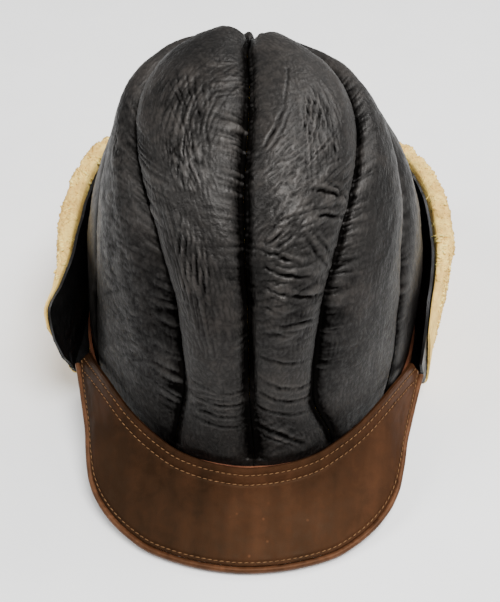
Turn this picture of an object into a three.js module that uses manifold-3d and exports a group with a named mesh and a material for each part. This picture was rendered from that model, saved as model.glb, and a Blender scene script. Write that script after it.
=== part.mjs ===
// Sheepskin flying cap: a crown of eight puffed gores with the wool inside, a leather headband, a stitched
// leather peak with a rolled edge, and one ear and neck flap turned up with its wool outside.
// Millimetres. The cap's own frame has z = 0 at the crown's rim, the peak towards -Y and +Z up; angles are
// in degrees round the crown, 0 at the front and positive towards +X.
import * as THREE from "three";
import { mergeVertices } from "three/addons/utils/BufferGeometryUtils.js";
import Module from "manifold-3d";

const wasm = await Module();
wasm.setup();

const GAP = 0.3; // clearance between neighbouring pieces

// Crown: an oval rim, a short upright skirt, then a dome whose top leans back and to one side.
const CROWN = {
  halfWidth: 92,
  halfLength: 110.2,
  skirt: 13,
  domeHeight: 160.2,
  leanX: -17.3,
  leanY: 17.5,
  backSet: -3.25,
  backDrop: 8,
  planPower: 2.43,
  heightPower: 2.5,
};
// Where the gores meet, as a fraction of the half width and half length from the top of the dome.
const MEET = { x: 0.02, y: 0.34 };
// Leather and wool of the crown: their thickness, the wool's lumps, its extra room at the top, and how much
// of the gores' puffs its own face follows.
const HIDE = { leather: 2.2, wool: 7.5, woolRipple: 1.2, topSlack: 1.4, follow: 0.4 };
// Rows over which the room at the top opens and the wool's lumps end.
const HIDE_ROWS = { slackFrom: 0.5, slackTo: 0.9, rippleFrom: 0.4, rippleTo: 0.7 };
// Seam valleys: their depth, the row by which they are fully deep, and the rows over which they close.
const SEAM = {
  depthAtRim: 1.8,
  depthAbove: 7.5,
  depthAtMeeting: 4,
  riseRow: 0.25,
  closeRow: 0.07,
  roundness: 2.15,
};
// Rows at which a gore's shoulder starts, is full, fades and ends.
const SHOULDER = { start: 0.4, full: 0.65, fade: 0.72, end: 0.92 };
const ROWS = [-1, 0, 0.05, 0.11, 0.18, 0.26, 0.35, 0.44, 0.53, 0.62, 0.71, 0.8, 0.88, 0.94, 0.972, 0.992];
// Seam lines: the angle at each of these rows, from the rim (0) to the meeting point (1).
const SEAM_ROWS = [0, 0.1, 0.25, 0.4, 0.5, 0.6, 0.7, 0.85, 1];
const SEAMS = {
  back_left: [-180, -180, -180, -180, -180, -180, -180, -180, -180],
  rear_left: [-118, -118, -121, -127, -132, -138, -143, -150, -156],
  side_left: [-62, -64, -72, -84, -94, -104, -113, -124, -131],
  front_left: [-20, -17, -21, -33, -49, -69, -85, -97, -98],
  centre: [6, 4, 3, 2, 2, 4, 7, 13, 18],
  front_right: [32, 24, 27, 38, 51, 67, 82, 97, 100],
  side_right: [57, 61, 68, 83, 94, 105, 114, 125, 132],
  rear_right: [118, 118, 121, 127, 132, 138, 143, 150, 156],
  back_right: [180, 180, 180, 180, 180, 180, 180, 180, 180],
};
// Each gore lies between two seam lines. Its middle stands out of the plain dome by its crest, and by its
// shoulder as well near the top.
const GORES = [
  { name: "gore_back_left", from: "back_left", to: "rear_left", crest: 1.5, shoulder: 0 },
  { name: "gore_rear_left", from: "rear_left", to: "side_left", crest: 1.5, shoulder: 0 },
  { name: "gore_side_left", from: "side_left", to: "front_left", crest: 0.5, shoulder: 4 },
  { name: "gore_front_left", from: "front_left", to: "centre", crest: 3.2, shoulder: 0 },
  { name: "gore_front_right", from: "centre", to: "front_right", crest: 2.5, shoulder: 1 },
  { name: "gore_side_right", from: "front_right", to: "side_right", crest: 0.5, shoulder: 2 },
  { name: "gore_rear_right", from: "side_right", to: "rear_right", crest: 1.5, shoulder: 1 },
  { name: "gore_back_right", from: "rear_right", to: "back_right", crest: 1.5, shoulder: 0 },
];
const GORE_COLUMNS = [0, 0.05, 0.17, 0.5, 0.83, 0.95, 1];
const WOOL_COLUMNS = [0, 0.17, 0.5, 0.83];

// Headband: lower under the peak, from frontEnd to full height at backStart degrees from the front.
const BAND = { low: 0.6, high: 16, highAtFront: 9, frontEnd: 20, backStart: 55, thick: 1.8, columns: 48 };

// Peak: its inner edge laps the front of the crown, its outer edge is level across the front. The under
// leather starts a part of the way out, and the reach leans towards the front.
const PEAK = { turn: 3.5, halfAngle: 65.5, stand: 4.6, thick: 1.8, sag: 2.6, underFrom: 0.24, forward: 0.35 };
const PEAK_ACROSS = [0, 0.15, 0.35, 0.6, 0.82, 1];
const PEAK_COLUMNS = { count: 23, crowding: 0.85 };
const PEAK_EDGE = [
  // angle from the peak's middle, height of the inner edge, reach and height of the outer edge
  { angle: 0, inner: 12.3, reach: 36.8, outer: -16.5 },
  { angle: 20, inner: 15, reach: 36.8, outer: -15.3 },
  { angle: 28, inner: 19, reach: 35.1, outer: -13 },
  { angle: 35.5, inner: 23, reach: 31.9, outer: -9.2 },
  { angle: 40.5, inner: 26, reach: 27.8, outer: -5.1 },
  { angle: 45, inner: 28.5, reach: 21.6, outer: 0.4 },
  { angle: 50, inner: 29.5, reach: 14.6, outer: 6.7 },
  { angle: 56, inner: 28.5, reach: 9.8, outer: 13 },
  { angle: 62, inner: 25, reach: 6.5, outer: 17.5 },
  { angle: 67, inner: 21.5, reach: 4.5, outer: 20 },
];
const BINDING = { stand: 0.6, halfWide: 1.5, halfTall: 2.5, sides: 8 };

// Flap: one strip from temple to temple round the back, turned up. Height above the rim, how far its free
// edge stands out on each side, the depth of its wool, and how much of the fold's full roll is there.
const FLAP = { turn: 3.5, thick: 1.8, lowest: 1, curl: 1.4, lead: 4.5, leadEnd: 90 };
const FLAP_EDGE = [
  { angle: 69.5, height: 24, left: 17, right: 8, foot: 10.5, wool: 2.4, roll: 0.35 },
  { angle: 70.5, height: 39, left: 20.5, right: 7, foot: 10.5, wool: 2.6, roll: 0.4 },
  { angle: 72.5, height: 50, left: 20.5, right: 5.5, foot: 10, wool: 3.2, roll: 0.5 },
  { angle: 76.5, height: 59, left: 12.5, right: 3.8, foot: 8, wool: 6, roll: 0.65 },
  { angle: 84, height: 65, left: 5, right: 3.3, foot: 5, wool: 11, roll: 0.85 },
  { angle: 95, height: 70, left: 3.5, right: 3.8, foot: 3.5, wool: 14.5, roll: 1 },
  { angle: 108, height: 76, left: 5, right: 5, foot: 3.3, wool: 14.5, roll: 1 },
  { angle: 122, height: 79, left: 8, right: 6, foot: 3.3, wool: 14.5, roll: 1 },
  { angle: 140, height: 71, left: 8, right: 7, foot: 3.3, wool: 14, roll: 1 },
  { angle: 160, height: 57, left: 7, right: 7, foot: 3.3, wool: 13.5, roll: 1 },
  { angle: 180, height: 51, left: 7, right: 7, foot: 3.3, wool: 13.5, roll: 1 },
];
const FLAP_ANGLES = [69.5, 70.5, 72.5, 76.5, 83, 90, 98, 106, 115, 125, 136, 147, 158, 169];
// The roll that the turned-up flap makes under the rim, and the wool's section in parts of its own sizes.
const ROLL = { depth: 11.5, inside: 9.2 };
const WOOL_SECTION = { edgeOut: 0.25, edgeUp: 0.22, belly: 0.35, footOut: 0.6, footDown: 0.72 };
// Parts of the flap's height where the section of its wool has a point: outside, and level with the rim.
const OUTSIDE_ROWS = [0.97, 0.72, 0.45, 0.2];
const FOOT_ROW = 0.05;
const ROLL_SECTION = [
  // inside: share of the roll's inner reach; down: share of its depth
  { inside: -0.05, down: 1 },
  { inside: 0.55, down: 0.86 },
  { inside: 1, down: 0.45 },
];
// Wool locks: flat blunt cones that stand out of the wool's backing and point to the flap's free edge.
const BACKING = 0.72;
const LOCK = {
  sides: 5,
  tip: 0.45,
  wide: 11,
  deep: 5,
  long: 27,
  lean: 0.1,
  arc: 20,
  firstAngle: 80,
  stagger: 5,
  sunk: 0.55,
  fullWool: 12,
  shortest: 0.6,
};
const LOCK_ROWS = [0.03, 0.36, 0.7];

// The cap's slope as it rests on its peak's edge and its rear roll, which the floor presses flat.
const REST = { tilt: 2.6 };

const DEG = Math.PI / 180;
const COLOURS = {
  crown: { color: 0x2a2523, roughness: 0.42, metalness: 0 },
  brown: { color: 0x5d3820, roughness: 0.5, metalness: 0 },
  edge: { color: 0x6f4527, roughness: 0.45, metalness: 0 },
  black: { color: 0x141211, roughness: 0.6, metalness: 0 },
  wool: { color: 0xdcc48f, roughness: 0.95, metalness: 0 },
};

const smooth = (x) => {
  const k = THREE.MathUtils.clamp(x, 0, 1);
  return k * k * (3 - 2 * k);
};

// The value at x on a smooth line through a table of xs and ys, flat past its ends and never overshooting.
function along(xs, ys, x) {
  if (x <= xs[0]) return ys[0];
  const last = xs.length - 1;
  if (x >= xs[last]) return ys[last];
  let k = 0;
  while (x > xs[k + 1]) k += 1;
  const slope = (i) => (ys[i + 1] - ys[i]) / (xs[i + 1] - xs[i]);
  const tangent = (i) => {
    if (i === 0) return slope(0);
    if (i === last) return slope(last - 1);
    const a = slope(i - 1);
    const b = slope(i);
    return a * b <= 0 ? 0 : (2 * a * b) / (a + b);
  };
  const width = xs[k + 1] - xs[k];
  const u = (x - xs[k]) / width;
  const keep = 2 * u ** 3 - 3 * u ** 2 + 1;
  return (
    keep * ys[k] +
    (1 - keep) * ys[k + 1] +
    width * ((u ** 3 - 2 * u ** 2 + u) * tangent(k) + (u ** 3 - u ** 2) * tangent(k + 1))
  );
}

const column = (table, key) => table.map((row) => row[key]);
const seamAngle = (name, row) => along(SEAM_ROWS, SEAMS[name], Math.max(0, row));

// A point of the plain crown without its puffs. Rows -1 to 0 are the skirt, 0 to 1 the dome.
function plainCrown(angle, row) {
  const x = Math.sin(angle * DEG);
  const y = -Math.cos(angle * DEG);
  if (row <= 0)
    return new THREE.Vector3(CROWN.halfWidth * x, CROWN.halfLength * y, CROWN.skirt * (1 + row));
  const spread = Math.cos((Math.PI / 2) * row) ** (2 / CROWN.planPower);
  const px = MEET.x * (1 - spread) + spread * x;
  const py = MEET.y * (1 - spread) + spread * y;
  const out = Math.min(1, Math.hypot(px, py));
  const rise = (2 / Math.PI) * Math.acos(out ** (CROWN.planPower / 2));
  return new THREE.Vector3(
    CROWN.leanX * (1 - out) + CROWN.halfWidth * px,
    CROWN.leanY * (1 - out) + CROWN.halfLength * py + CROWN.backSet * Math.sin(Math.PI * rise),
    CROWN.skirt +
      CROWN.domeHeight * (1 - out ** CROWN.planPower) ** (1 / CROWN.heightPower) -
      CROWN.backDrop * smooth(py / 0.7) * smooth(4 * (1 - out)),
  );
}

const rimOutward = (angle) =>
  new THREE.Vector3(
    Math.sin(angle * DEG) / CROWN.halfWidth,
    -Math.cos(angle * DEG) / CROWN.halfLength,
    0,
  ).normalize();

// The plain crown's outward direction.
function crownOutward(angle, row) {
  if (row <= 0) return rimOutward(angle);
  const step = 0.004;
  const r = THREE.MathUtils.clamp(row, 2 * step, 0.97);
  const round = plainCrown(angle + 0.5, r).sub(plainCrown(angle - 0.5, r));
  const up = plainCrown(angle, r + step).sub(plainCrown(angle, r - step));
  return round.cross(up).normalize();
}

// How far a gore's outer face stands from the plain crown: a deep valley at its seams, a round crest between.
function puff(gore, across, row) {
  const rise = smooth(row / SEAM.riseRow);
  const open = smooth((1 - row) / SEAM.closeRow);
  const depth =
    SEAM.depthAtRim +
    (SEAM.depthAbove - SEAM.depthAtRim) * rise +
    (SEAM.depthAtMeeting - SEAM.depthAbove) * (1 - open);
  const round = (1 - Math.abs(2 * across - 1) ** SEAM.roundness) ** (1 / SEAM.roundness);
  const risen = smooth((row - SHOULDER.start) / (SHOULDER.full - SHOULDER.start));
  const left = smooth((SHOULDER.end - row) / (SHOULDER.end - SHOULDER.fade));
  const crest = gore.crest * rise + gore.shoulder * risen * left;
  return -depth + (depth + crest) * round * open;
}

function gorePoint(gore, across, row, inward, halfGap) {
  let from = seamAngle(gore.from, row);
  let to = seamAngle(gore.to, row);
  const middle = (from + to) / 2;
  const perDegree = plainCrown(middle + 0.5, row).distanceTo(plainCrown(middle - 0.5, row));
  from += halfGap / perDegree;
  to -= halfGap / perDegree;
  const angle = from + (to - from) * across;
  const outward = crownOutward(angle, row);
  return plainCrown(angle, row).addScaledVector(outward, puff(gore, across, row) - inward);
}

// One closed mesh from four-sided and three-sided faces given as lists of points, seen from outside.
function closedGeometry(faces) {
  const points = [];
  for (const face of faces)
    for (let k = 2; k < face.length; k += 1)
      points.push(...face[0].toArray(), ...face[k - 1].toArray(), ...face[k].toArray());
  const geometry = new THREE.BufferGeometry();
  geometry.setAttribute("position", new THREE.Float32BufferAttribute(points, 3));
  const merged = mergeVertices(geometry, 1e-3);
  const index = Array.from(merged.index.array);
  const kept = [];
  for (let k = 0; k < index.length; k += 3) {
    const [a, b, c] = index.slice(k, k + 3);
    if (a !== b && b !== c && c !== a) kept.push(a, b, c);
  }
  merged.setIndex(kept);
  return merged;
}

// A wall between an outer and an inner sheet, each a grid [row][column] of points. ring joins the last
// column to the first.
function wallFaces(outer, inner, ring) {
  const faces = [];
  const rows = outer.length;
  const columns = outer[0].length;
  const spans = ring ? columns : columns - 1;
  for (let r = 0; r + 1 < rows; r += 1)
    for (let c = 0; c < spans; c += 1) {
      const n = (c + 1) % columns;
      faces.push([outer[r][c], outer[r][n], outer[r + 1][n], outer[r + 1][c]]);
      faces.push([inner[r][c], inner[r + 1][c], inner[r + 1][n], inner[r][n]]);
    }
  for (let c = 0; c < spans; c += 1) {
    const n = (c + 1) % columns;
    const t = rows - 1;
    faces.push([outer[0][n], outer[0][c], inner[0][c], inner[0][n]]);
    faces.push([outer[t][c], outer[t][n], inner[t][n], inner[t][c]]);
  }
  if (!ring)
    for (let r = 0; r + 1 < rows; r += 1) {
      const e = columns - 1;
      faces.push([outer[r][0], outer[r + 1][0], inner[r + 1][0], inner[r][0]]);
      faces.push([outer[r][e], inner[r][e], inner[r + 1][e], outer[r + 1][e]]);
    }
  return faces;
}

const grid = (rows, columns, point) =>
  rows.map((row, r) => columns.map((col, c) => point(row, col, r, c)));

function toSolid(geometry) {
  const bare = new THREE.BufferGeometry();
  bare.setAttribute("position", geometry.attributes.position);
  bare.setIndex(geometry.index);
  const merged = mergeVertices(bare, 1e-3);
  return new wasm.Manifold(
    new wasm.Mesh({
      numProp: 3,
      vertProperties: merged.attributes.position.array,
      triVerts: new Uint32Array(merged.index.array),
    }),
  );
}

function fromSolid(solid) {
  const mesh = solid.getMesh();
  const geometry = new THREE.BufferGeometry();
  geometry.setAttribute("position", new THREE.BufferAttribute(mesh.vertProperties, 3));
  geometry.setIndex(new THREE.BufferAttribute(mesh.triVerts, 1));
  return geometry;
}

function named(name, geometry, look) {
  geometry.computeVertexNormals();
  const mesh = new THREE.Mesh(geometry, new THREE.MeshStandardMaterial(COLOURS[look]));
  mesh.name = name;
  return mesh;
}

function goreGeometry(gore) {
  const outer = grid(ROWS, GORE_COLUMNS, (row, u) => gorePoint(gore, u, row, 0, GAP / 2));
  const inner = grid(ROWS, GORE_COLUMNS, (row, u) => gorePoint(gore, u, row, HIDE.leather, GAP / 2));
  return closedGeometry(wallFaces(outer, inner, false));
}

// The wool inside the crown: it follows the gores and closes over the meeting point.
function crownWoolGeometry() {
  const columns = GORES.flatMap((gore) => WOOL_COLUMNS.map((across) => ({ gore, across })));
  const rows = [-0.97, ...ROWS.filter((row) => row >= 0 && row < 0.98), 1];
  const between = (from, to, row) => smooth((row - from) / (to - from));
  const slack = (row) => HIDE.topSlack * between(HIDE_ROWS.slackFrom, HIDE_ROWS.slackTo, row);
  const hideDepth = (row) => HIDE.leather + 2 * GAP + slack(row);
  const outer = grid(rows, columns, (row, { gore, across }) =>
    gorePoint(gore, across, row, hideDepth(row), 0),
  );
  // The wool fills the gores' puffs, so its own face is much smoother than the leather's.
  const inner = grid(rows, columns, (row, { gore, across }, r, c) => {
    const flattened = between(HIDE_ROWS.rippleFrom, HIDE_ROWS.rippleTo, row);
    const lump = (r + c) % 2 ? HIDE.woolRipple * (1 - flattened) : 0;
    const aboveValley = puff(gore, across, row) + SEAM.depthAbove * smooth(row / SEAM.riseRow);
    const filled = (1 - HIDE.follow) * aboveValley;
    return gorePoint(gore, across, row, hideDepth(row) + HIDE.wool + filled + lump, 0);
  });
  const top = rows.length - 1;
  // The last row is one point on each side, the bottom of the dimple over the meeting point.
  const under = plainCrown(0, 1).addScaledVector(
    new THREE.Vector3(0, 0, -1),
    SEAM.depthAbove + HIDE.leather + 2 * GAP + HIDE.topSlack,
  );
  outer[top] = outer[top].map(() => under);
  inner[top] = inner[top].map(() => under.clone().setZ(under.z - HIDE.wool));
  const faces = [];
  for (let r = 0; r < top; r += 1)
    for (let c = 0; c < columns.length; c += 1) {
      const n = (c + 1) % columns.length;
      faces.push([outer[r][c], outer[r][n], outer[r + 1][n], outer[r + 1][c]]);
      faces.push([inner[r][c], inner[r + 1][c], inner[r + 1][n], inner[r][n]]);
      if (r === 0) faces.push([outer[0][n], outer[0][c], inner[0][c], inner[0][n]]);
    }
  return closedGeometry(faces);
}

// A point beside the crown's upright rim wall: out from the wall and above the rim.
const besideRim = (angle, out, height) =>
  plainCrown(angle, -1).addScaledVector(rimOutward(angle), out).setZ(height);

function bandGeometry() {
  const angles = Array.from({ length: BAND.columns }, (_, k) => (360 * k) / BAND.columns);
  const top = (angle) => {
    const fromFront = Math.abs(angle > 180 ? 360 - angle : angle);
    const part = smooth((fromFront - BAND.frontEnd) / (BAND.backStart - BAND.frontEnd));
    return BAND.highAtFront + (BAND.high - BAND.highAtFront) * part;
  };
  const sheet = (out) =>
    grid([0, 1], angles, (part, angle) => besideRim(angle, out, part ? top(angle) : BAND.low));
  // The gores' facets are flat between their corners, so the band clears the oval by a full gap.
  return closedGeometry(wallFaces(sheet(GAP + BAND.thick), sheet(GAP), true));
}

const peakValue = (key, angle) =>
  along(column(PEAK_EDGE, "angle"), column(PEAK_EDGE, key), Math.abs(angle));

// A point of the peak's top leather: angle from the peak's middle, and 0 to 1 from inner to outer edge.
function peakPoint(angle, across) {
  const round = angle + PEAK.turn;
  const inner = besideRim(round, PEAK.stand, peakValue("inner", angle));
  const away = rimOutward(round)
    .multiplyScalar(1 - PEAK.forward)
    .add(new THREE.Vector3(0, -PEAK.forward, 0))
    .normalize();
  const reach = peakValue("reach", angle);
  const outer = inner.clone().addScaledVector(away, reach).setZ(peakValue("outer", angle));
  const drop = inner.z - outer.z;
  const sag = (PEAK.sag * reach) / PEAK_EDGE[0].reach;
  const bend = sag * Math.sin(Math.PI * across ** 0.7);
  return inner
    .lerp(outer, across)
    .addScaledVector(away, (-bend * drop) / Math.hypot(reach, drop))
    .add(new THREE.Vector3(0, 0, (-bend * reach) / Math.hypot(reach, drop)));
}

function peakUp(angle, across) {
  const a = THREE.MathUtils.clamp(across, 0.02, 0.98);
  const round = peakPoint(angle + 0.5, a).sub(peakPoint(angle - 0.5, a));
  const out = peakPoint(angle, a + 0.01).sub(peakPoint(angle, a - 0.01));
  return out.cross(round).normalize();
}

// Angles of the peak's columns, closer together towards its tips.
const PEAK_ANGLES = Array.from({ length: PEAK_COLUMNS.count }, (_, k) => {
  const side = (2 * k) / (PEAK_COLUMNS.count - 1) - 1;
  return PEAK.halfAngle * Math.sign(side) * Math.abs(side) ** PEAK_COLUMNS.crowding;
});

// One leather of the peak, between two depths below its top face.
function peakLeather(from, depth, thick) {
  const across = PEAK_ACROSS.map((k) => from + (1 - from) * k);
  const sheet = (down) =>
    grid(across, PEAK_ANGLES, (k, angle) => peakPoint(angle, k).addScaledVector(peakUp(angle, k), -down));
  return closedGeometry(wallFaces(sheet(depth + thick), sheet(depth), false));
}

// The rolled edge: an oval roll along the outer edge of both leathers.
function bindingGeometry() {
  const middle = PEAK.thick + GAP / 2;
  const rings = PEAK_ANGLES.map((angle) => {
    const up = peakUp(angle, 1);
    const edge = peakPoint(angle + 0.5, 1).sub(peakPoint(angle - 0.5, 1)).normalize();
    const out = edge.cross(up).normalize();
    const centre = peakPoint(angle, 1)
      .addScaledVector(up, -middle)
      .addScaledVector(out, BINDING.stand + BINDING.halfWide);
    return Array.from({ length: BINDING.sides }, (_, k) => {
      const turn = (2 * Math.PI * (k + 0.5)) / BINDING.sides;
      return centre
        .clone()
        .addScaledVector(out, (BINDING.halfWide * Math.cos(turn)) / Math.cos(Math.PI / BINDING.sides))
        .addScaledVector(up, BINDING.halfTall * Math.sin(turn));
    });
  });
  const faces = [];
  const last = rings.length - 1;
  for (let r = 0; r < last; r += 1)
    for (let k = 0; k < BINDING.sides; k += 1) {
      const n = (k + 1) % BINDING.sides;
      faces.push([rings[r][k], rings[r + 1][k], rings[r + 1][n], rings[r][n]]);
    }
  faces.push([...rings[0]]);
  faces.push([...rings[last]].reverse());
  return closedGeometry(faces);
}

// Angles along the flap, from the right temple round the back to the left one.
const flapAngles = [...FLAP_ANGLES, 180, ...FLAP_ANGLES.map((angle) => 360 - angle).reverse()];
const flapValue = (key, angle) => {
  const side = angle > 180 ? "left" : "right";
  const from = angle > 180 ? 360 - angle : angle;
  return along(column(FLAP_EDGE, "angle"), column(FLAP_EDGE, key === "stand" ? side : key), from);
};

// A point of the flap: beside the rim wall, with the front edges leaning forward as they rise.
function flapPoint(angle, out, height) {
  const side = angle > 180 ? -1 : 1;
  const from = angle > 180 ? 360 - angle : angle;
  const part = THREE.MathUtils.clamp(height / flapValue("height", angle), 0, 1);
  const fade = smooth((FLAP.leadEnd - from) / (FLAP.leadEnd - FLAP_EDGE[0].angle));
  return besideRim(angle + FLAP.turn - side * FLAP.lead * part * fade, out, height);
}

// How far the flap's leather stands out from the rim wall at a part of its height.
function flapOut(angle, part) {
  const curled = Math.max(0, part) ** FLAP.curl;
  return THREE.MathUtils.lerp(flapValue("foot", angle), flapValue("stand", angle), curled);
}

// Rows of the flap as parts of its height; both the leather and the wool on it have them.
const FLAP_ROWS = [0.2, 0.45, 0.72, 1];

// The flap's leather; grow makes it thicker on both faces, for the room that the wool leaves it.
function flapLeatherGeometry(grow = 0) {
  const sheet = (extra) =>
    grid([0, ...FLAP_ROWS], flapAngles, (row, angle) => {
      const height = flapValue("height", angle);
      const part = Math.max(row, FLAP.lowest / height);
      return flapPoint(angle, flapOut(angle, part) + extra, height * part);
    });
  return closedGeometry(wallFaces(sheet(FLAP.thick + grow), sheet(-grow), false));
}

// The wool's outer face, as a share of its full depth, at a part of the flap's height.
const woolDepth = (angle, part, share) => {
  const belly = 1 - WOOL_SECTION.belly * Math.abs(2 * part - 1) ** 3;
  return flapOut(angle, part) + FLAP.thick + 2 * GAP + flapValue("wool", angle) * belly * share;
};

// The section of the wool's backing at one angle: up the flap's leather, over its free edge, down the
// outside, and round under the rim as the roll that the turned-up flap makes.
function backingSection(angle) {
  const height = flapValue("height", angle);
  const wool = flapValue("wool", angle);
  const roll = flapValue("roll", angle);
  const inside = (part) => [flapOut(angle, part) + FLAP.thick + 2 * GAP, height * part];
  const outside = (part) => [woolDepth(angle, part, BACKING), height * part];
  const down = ROLL.depth * roll;
  const points = [
    [-ROLL.inside, -GAP],
    [flapValue("foot", angle) + FLAP.thick + GAP, -GAP],
    ...FLAP_ROWS.map(inside),
    [inside(1)[0] + WOOL_SECTION.edgeOut * wool, height + WOOL_SECTION.edgeUp * wool],
    ...OUTSIDE_ROWS.map(outside),
    [woolDepth(angle, FOOT_ROW, BACKING), 0],
    [flapValue("foot", angle) + WOOL_SECTION.footOut * BACKING * wool, -WOOL_SECTION.footDown * down],
    ...ROLL_SECTION.map((row) => [-row.inside * ROLL.inside, -row.down * down]),
  ];
  return points.map(([out, high]) => flapPoint(angle, out, high));
}

function backingGeometry() {
  const rings = flapAngles.map(backingSection);
  const count = rings[0].length;
  const faces = [];
  for (let r = 0; r + 1 < rings.length; r += 1)
    for (let k = 0; k < count; k += 1) {
      const n = (k + 1) % count;
      faces.push([rings[r][k], rings[r][n], rings[r + 1][n], rings[r + 1][k]]);
    }
  const end = (ring, angle, flip) => {
    const out = rimOutward(angle + FLAP.turn);
    const flat = ring.map((p) => new THREE.Vector2(p.dot(out), p.z));
    for (const [a, b, c] of THREE.ShapeUtils.triangulateShape(flat, []))
      faces.push(flip ? [ring[c], ring[b], ring[a]] : [ring[a], ring[b], ring[c]]);
  };
  end(rings[0], flapAngles[0], false);
  end(rings[rings.length - 1], flapAngles[flapAngles.length - 1], true);
  return closedGeometry(faces);
}

// One lock, as a flat cone along +Z from its root, leaning out towards +Y.
function lockGeometry() {
  const cone = new THREE.CylinderGeometry(LOCK.tip, 1, 1, LOCK.sides, 1);
  cone.rotateX(Math.PI / 2);
  cone.translate(0, 0, 0.5);
  return cone;
}

// A lock's place at an angle and a part of the flap's height: its axis follows the wool's own face up.
function lockMatrix(angle, part) {
  const height = flapValue("height", angle);
  const size = Math.min(1, flapValue("wool", angle) / LOCK.fullWool);
  const face = woolDepth(angle, part, BACKING);
  const step = 0.2;
  const slope = (woolDepth(angle, part + step, BACKING) - face) / (step * height);
  const out = rimOutward(angle + FLAP.turn);
  const upward = new THREE.Vector3(0, 0, 1).addScaledVector(out, slope + LOCK.lean).normalize();
  const side = upward.clone().cross(out).normalize();
  return new THREE.Matrix4()
    .makeBasis(
      side.multiplyScalar(LOCK.wide * size),
      out.multiplyScalar(-LOCK.deep * size),
      upward.multiplyScalar(LOCK.long * Math.max(size, LOCK.shortest)),
    )
    .setPosition(flapPoint(angle, face - LOCK.deep * LOCK.sunk * size, height * part));
}

function woolGeometry() {
  const lock = lockGeometry();
  let solid = toSolid(backingGeometry());
  LOCK_ROWS.forEach((part, row) => {
    let angle = LOCK.firstAngle + (row % 2) * LOCK.stagger;
    while (angle < 360 - LOCK.firstAngle) {
      solid = solid.add(toSolid(lock.clone().applyMatrix4(lockMatrix(angle, part))));
      angle += LOCK.arc / flapPoint(angle + 1, LOCK.deep, 0).distanceTo(flapPoint(angle, LOCK.deep, 0));
    }
  });
  return solid;
}

// The resting cap is turned about X and lifted until its peak's edge just touches the floor.
const rest = new THREE.Group();
rest.rotation.x = -REST.tilt * DEG;
rest.updateMatrix();
const binding = bindingGeometry();
const turned = binding.clone().applyMatrix4(rest.matrix);
turned.computeBoundingBox();
rest.position.z = -turned.boundingBox.min.z;
rest.updateMatrix();

// What of the wool would reach under the floor is pressed flat there.
const FLOOR = { wide: 600, deep: 100 };
const floorBlock = new THREE.BoxGeometry(FLOOR.wide, FLOOR.wide, FLOOR.deep);
floorBlock.translate(0, 0, -FLOOR.deep / 2);
floorBlock.applyMatrix4(rest.matrix.clone().invert());
const room = toSolid(flapLeatherGeometry(GAP));
const wool = fromSolid(woolGeometry().subtract(room).subtract(toSolid(floorBlock)));

for (const gore of GORES) rest.add(named(gore.name, goreGeometry(gore), "crown"));
rest.add(named("crown_fleece", crownWoolGeometry(), "wool"));
rest.add(named("headband", bandGeometry(), "brown"));
rest.add(named("peak_top", peakLeather(0, 0, PEAK.thick), "brown"));
rest.add(named("peak_under", peakLeather(PEAK.underFrom, PEAK.thick + GAP, PEAK.thick), "brown"));
rest.add(named("peak_binding", binding, "edge"));
rest.add(named("flap_leather", flapLeatherGeometry(), "black"));
rest.add(named("flap_fleece", wool, "wool"));

// The origin is the middle of the cap's box, on the surface that it rests on.
const group = new THREE.Group();
group.add(rest);
group.updateMatrixWorld(true);
const box = new THREE.Box3().setFromObject(group, true);
rest.position.x -= (box.min.x + box.max.x) / 2;
rest.position.y -= (box.min.y + box.max.y) / 2;

export default group;
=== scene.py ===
"""Looks of a sheepskin flying cap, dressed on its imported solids.

Sizes are in millimetres in the cap's own frame: z = 0 at the crown's rim, the peak towards -Y, angles in
degrees round the crown, 0 at the front and positive towards +X. RestingFrame carries them to the row frame.
"""
import logging
from collections.abc import Iterator
from contextlib import contextmanager
from dataclasses import dataclass, field
from enum import Enum

import bpy
import numpy as np
from mathutils import Matrix, Vector


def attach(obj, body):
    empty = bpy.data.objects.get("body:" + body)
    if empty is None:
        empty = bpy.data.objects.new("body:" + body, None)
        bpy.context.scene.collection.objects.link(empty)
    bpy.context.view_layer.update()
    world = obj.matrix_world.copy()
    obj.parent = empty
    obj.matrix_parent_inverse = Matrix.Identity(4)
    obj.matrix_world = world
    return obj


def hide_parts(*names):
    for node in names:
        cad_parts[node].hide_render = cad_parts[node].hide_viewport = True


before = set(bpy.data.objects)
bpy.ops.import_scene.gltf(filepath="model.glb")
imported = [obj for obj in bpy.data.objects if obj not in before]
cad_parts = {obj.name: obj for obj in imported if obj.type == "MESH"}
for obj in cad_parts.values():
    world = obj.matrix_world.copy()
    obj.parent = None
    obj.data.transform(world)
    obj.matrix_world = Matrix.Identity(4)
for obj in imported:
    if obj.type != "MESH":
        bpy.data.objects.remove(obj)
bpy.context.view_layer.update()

LOG = logging.getLogger("cap")
Array = np.ndarray


def smooth(x: Array) -> Array:
    """Rises smoothly from 0 at 0 to 1 at 1."""
    k = np.clip(x, 0, 1)
    return k * k * (3 - 2 * k)


def along(xs: list[float], ys: list[float], x: Array) -> Array:
    """A smooth line through a table, flat past its ends and never overshooting.

    Args:
        xs: rising places of the table's rows.
        ys: their values.
        x: places to read.

    Returns:
        The values at x.
    """
    xs, ys = np.asarray(xs, float), np.asarray(ys, float)
    x = np.clip(np.asarray(x, float), xs[0], xs[-1])
    slope = np.diff(ys) / np.diff(xs)
    tangent = np.concatenate([slope[:1], np.zeros(len(xs) - 2), slope[-1:]])
    before, after = slope[:-1], slope[1:]
    same = before * after > 0
    total = np.where(same, before + after, 1)
    tangent[1:-1] = np.where(same, 2 * before * after / total, 0)
    k = np.clip(np.searchsorted(xs, x, side="right") - 1, 0, len(xs) - 2)
    width = xs[k + 1] - xs[k]
    u = (x - xs[k]) / width
    keep = 2 * u**3 - 3 * u**2 + 1
    lift = (u**3 - 2 * u**2 + u) * tangent[k] + (u**3 - u**2) * tangent[k + 1]
    return keep * ys[k] + (1 - keep) * ys[k + 1] + width * lift


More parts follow.
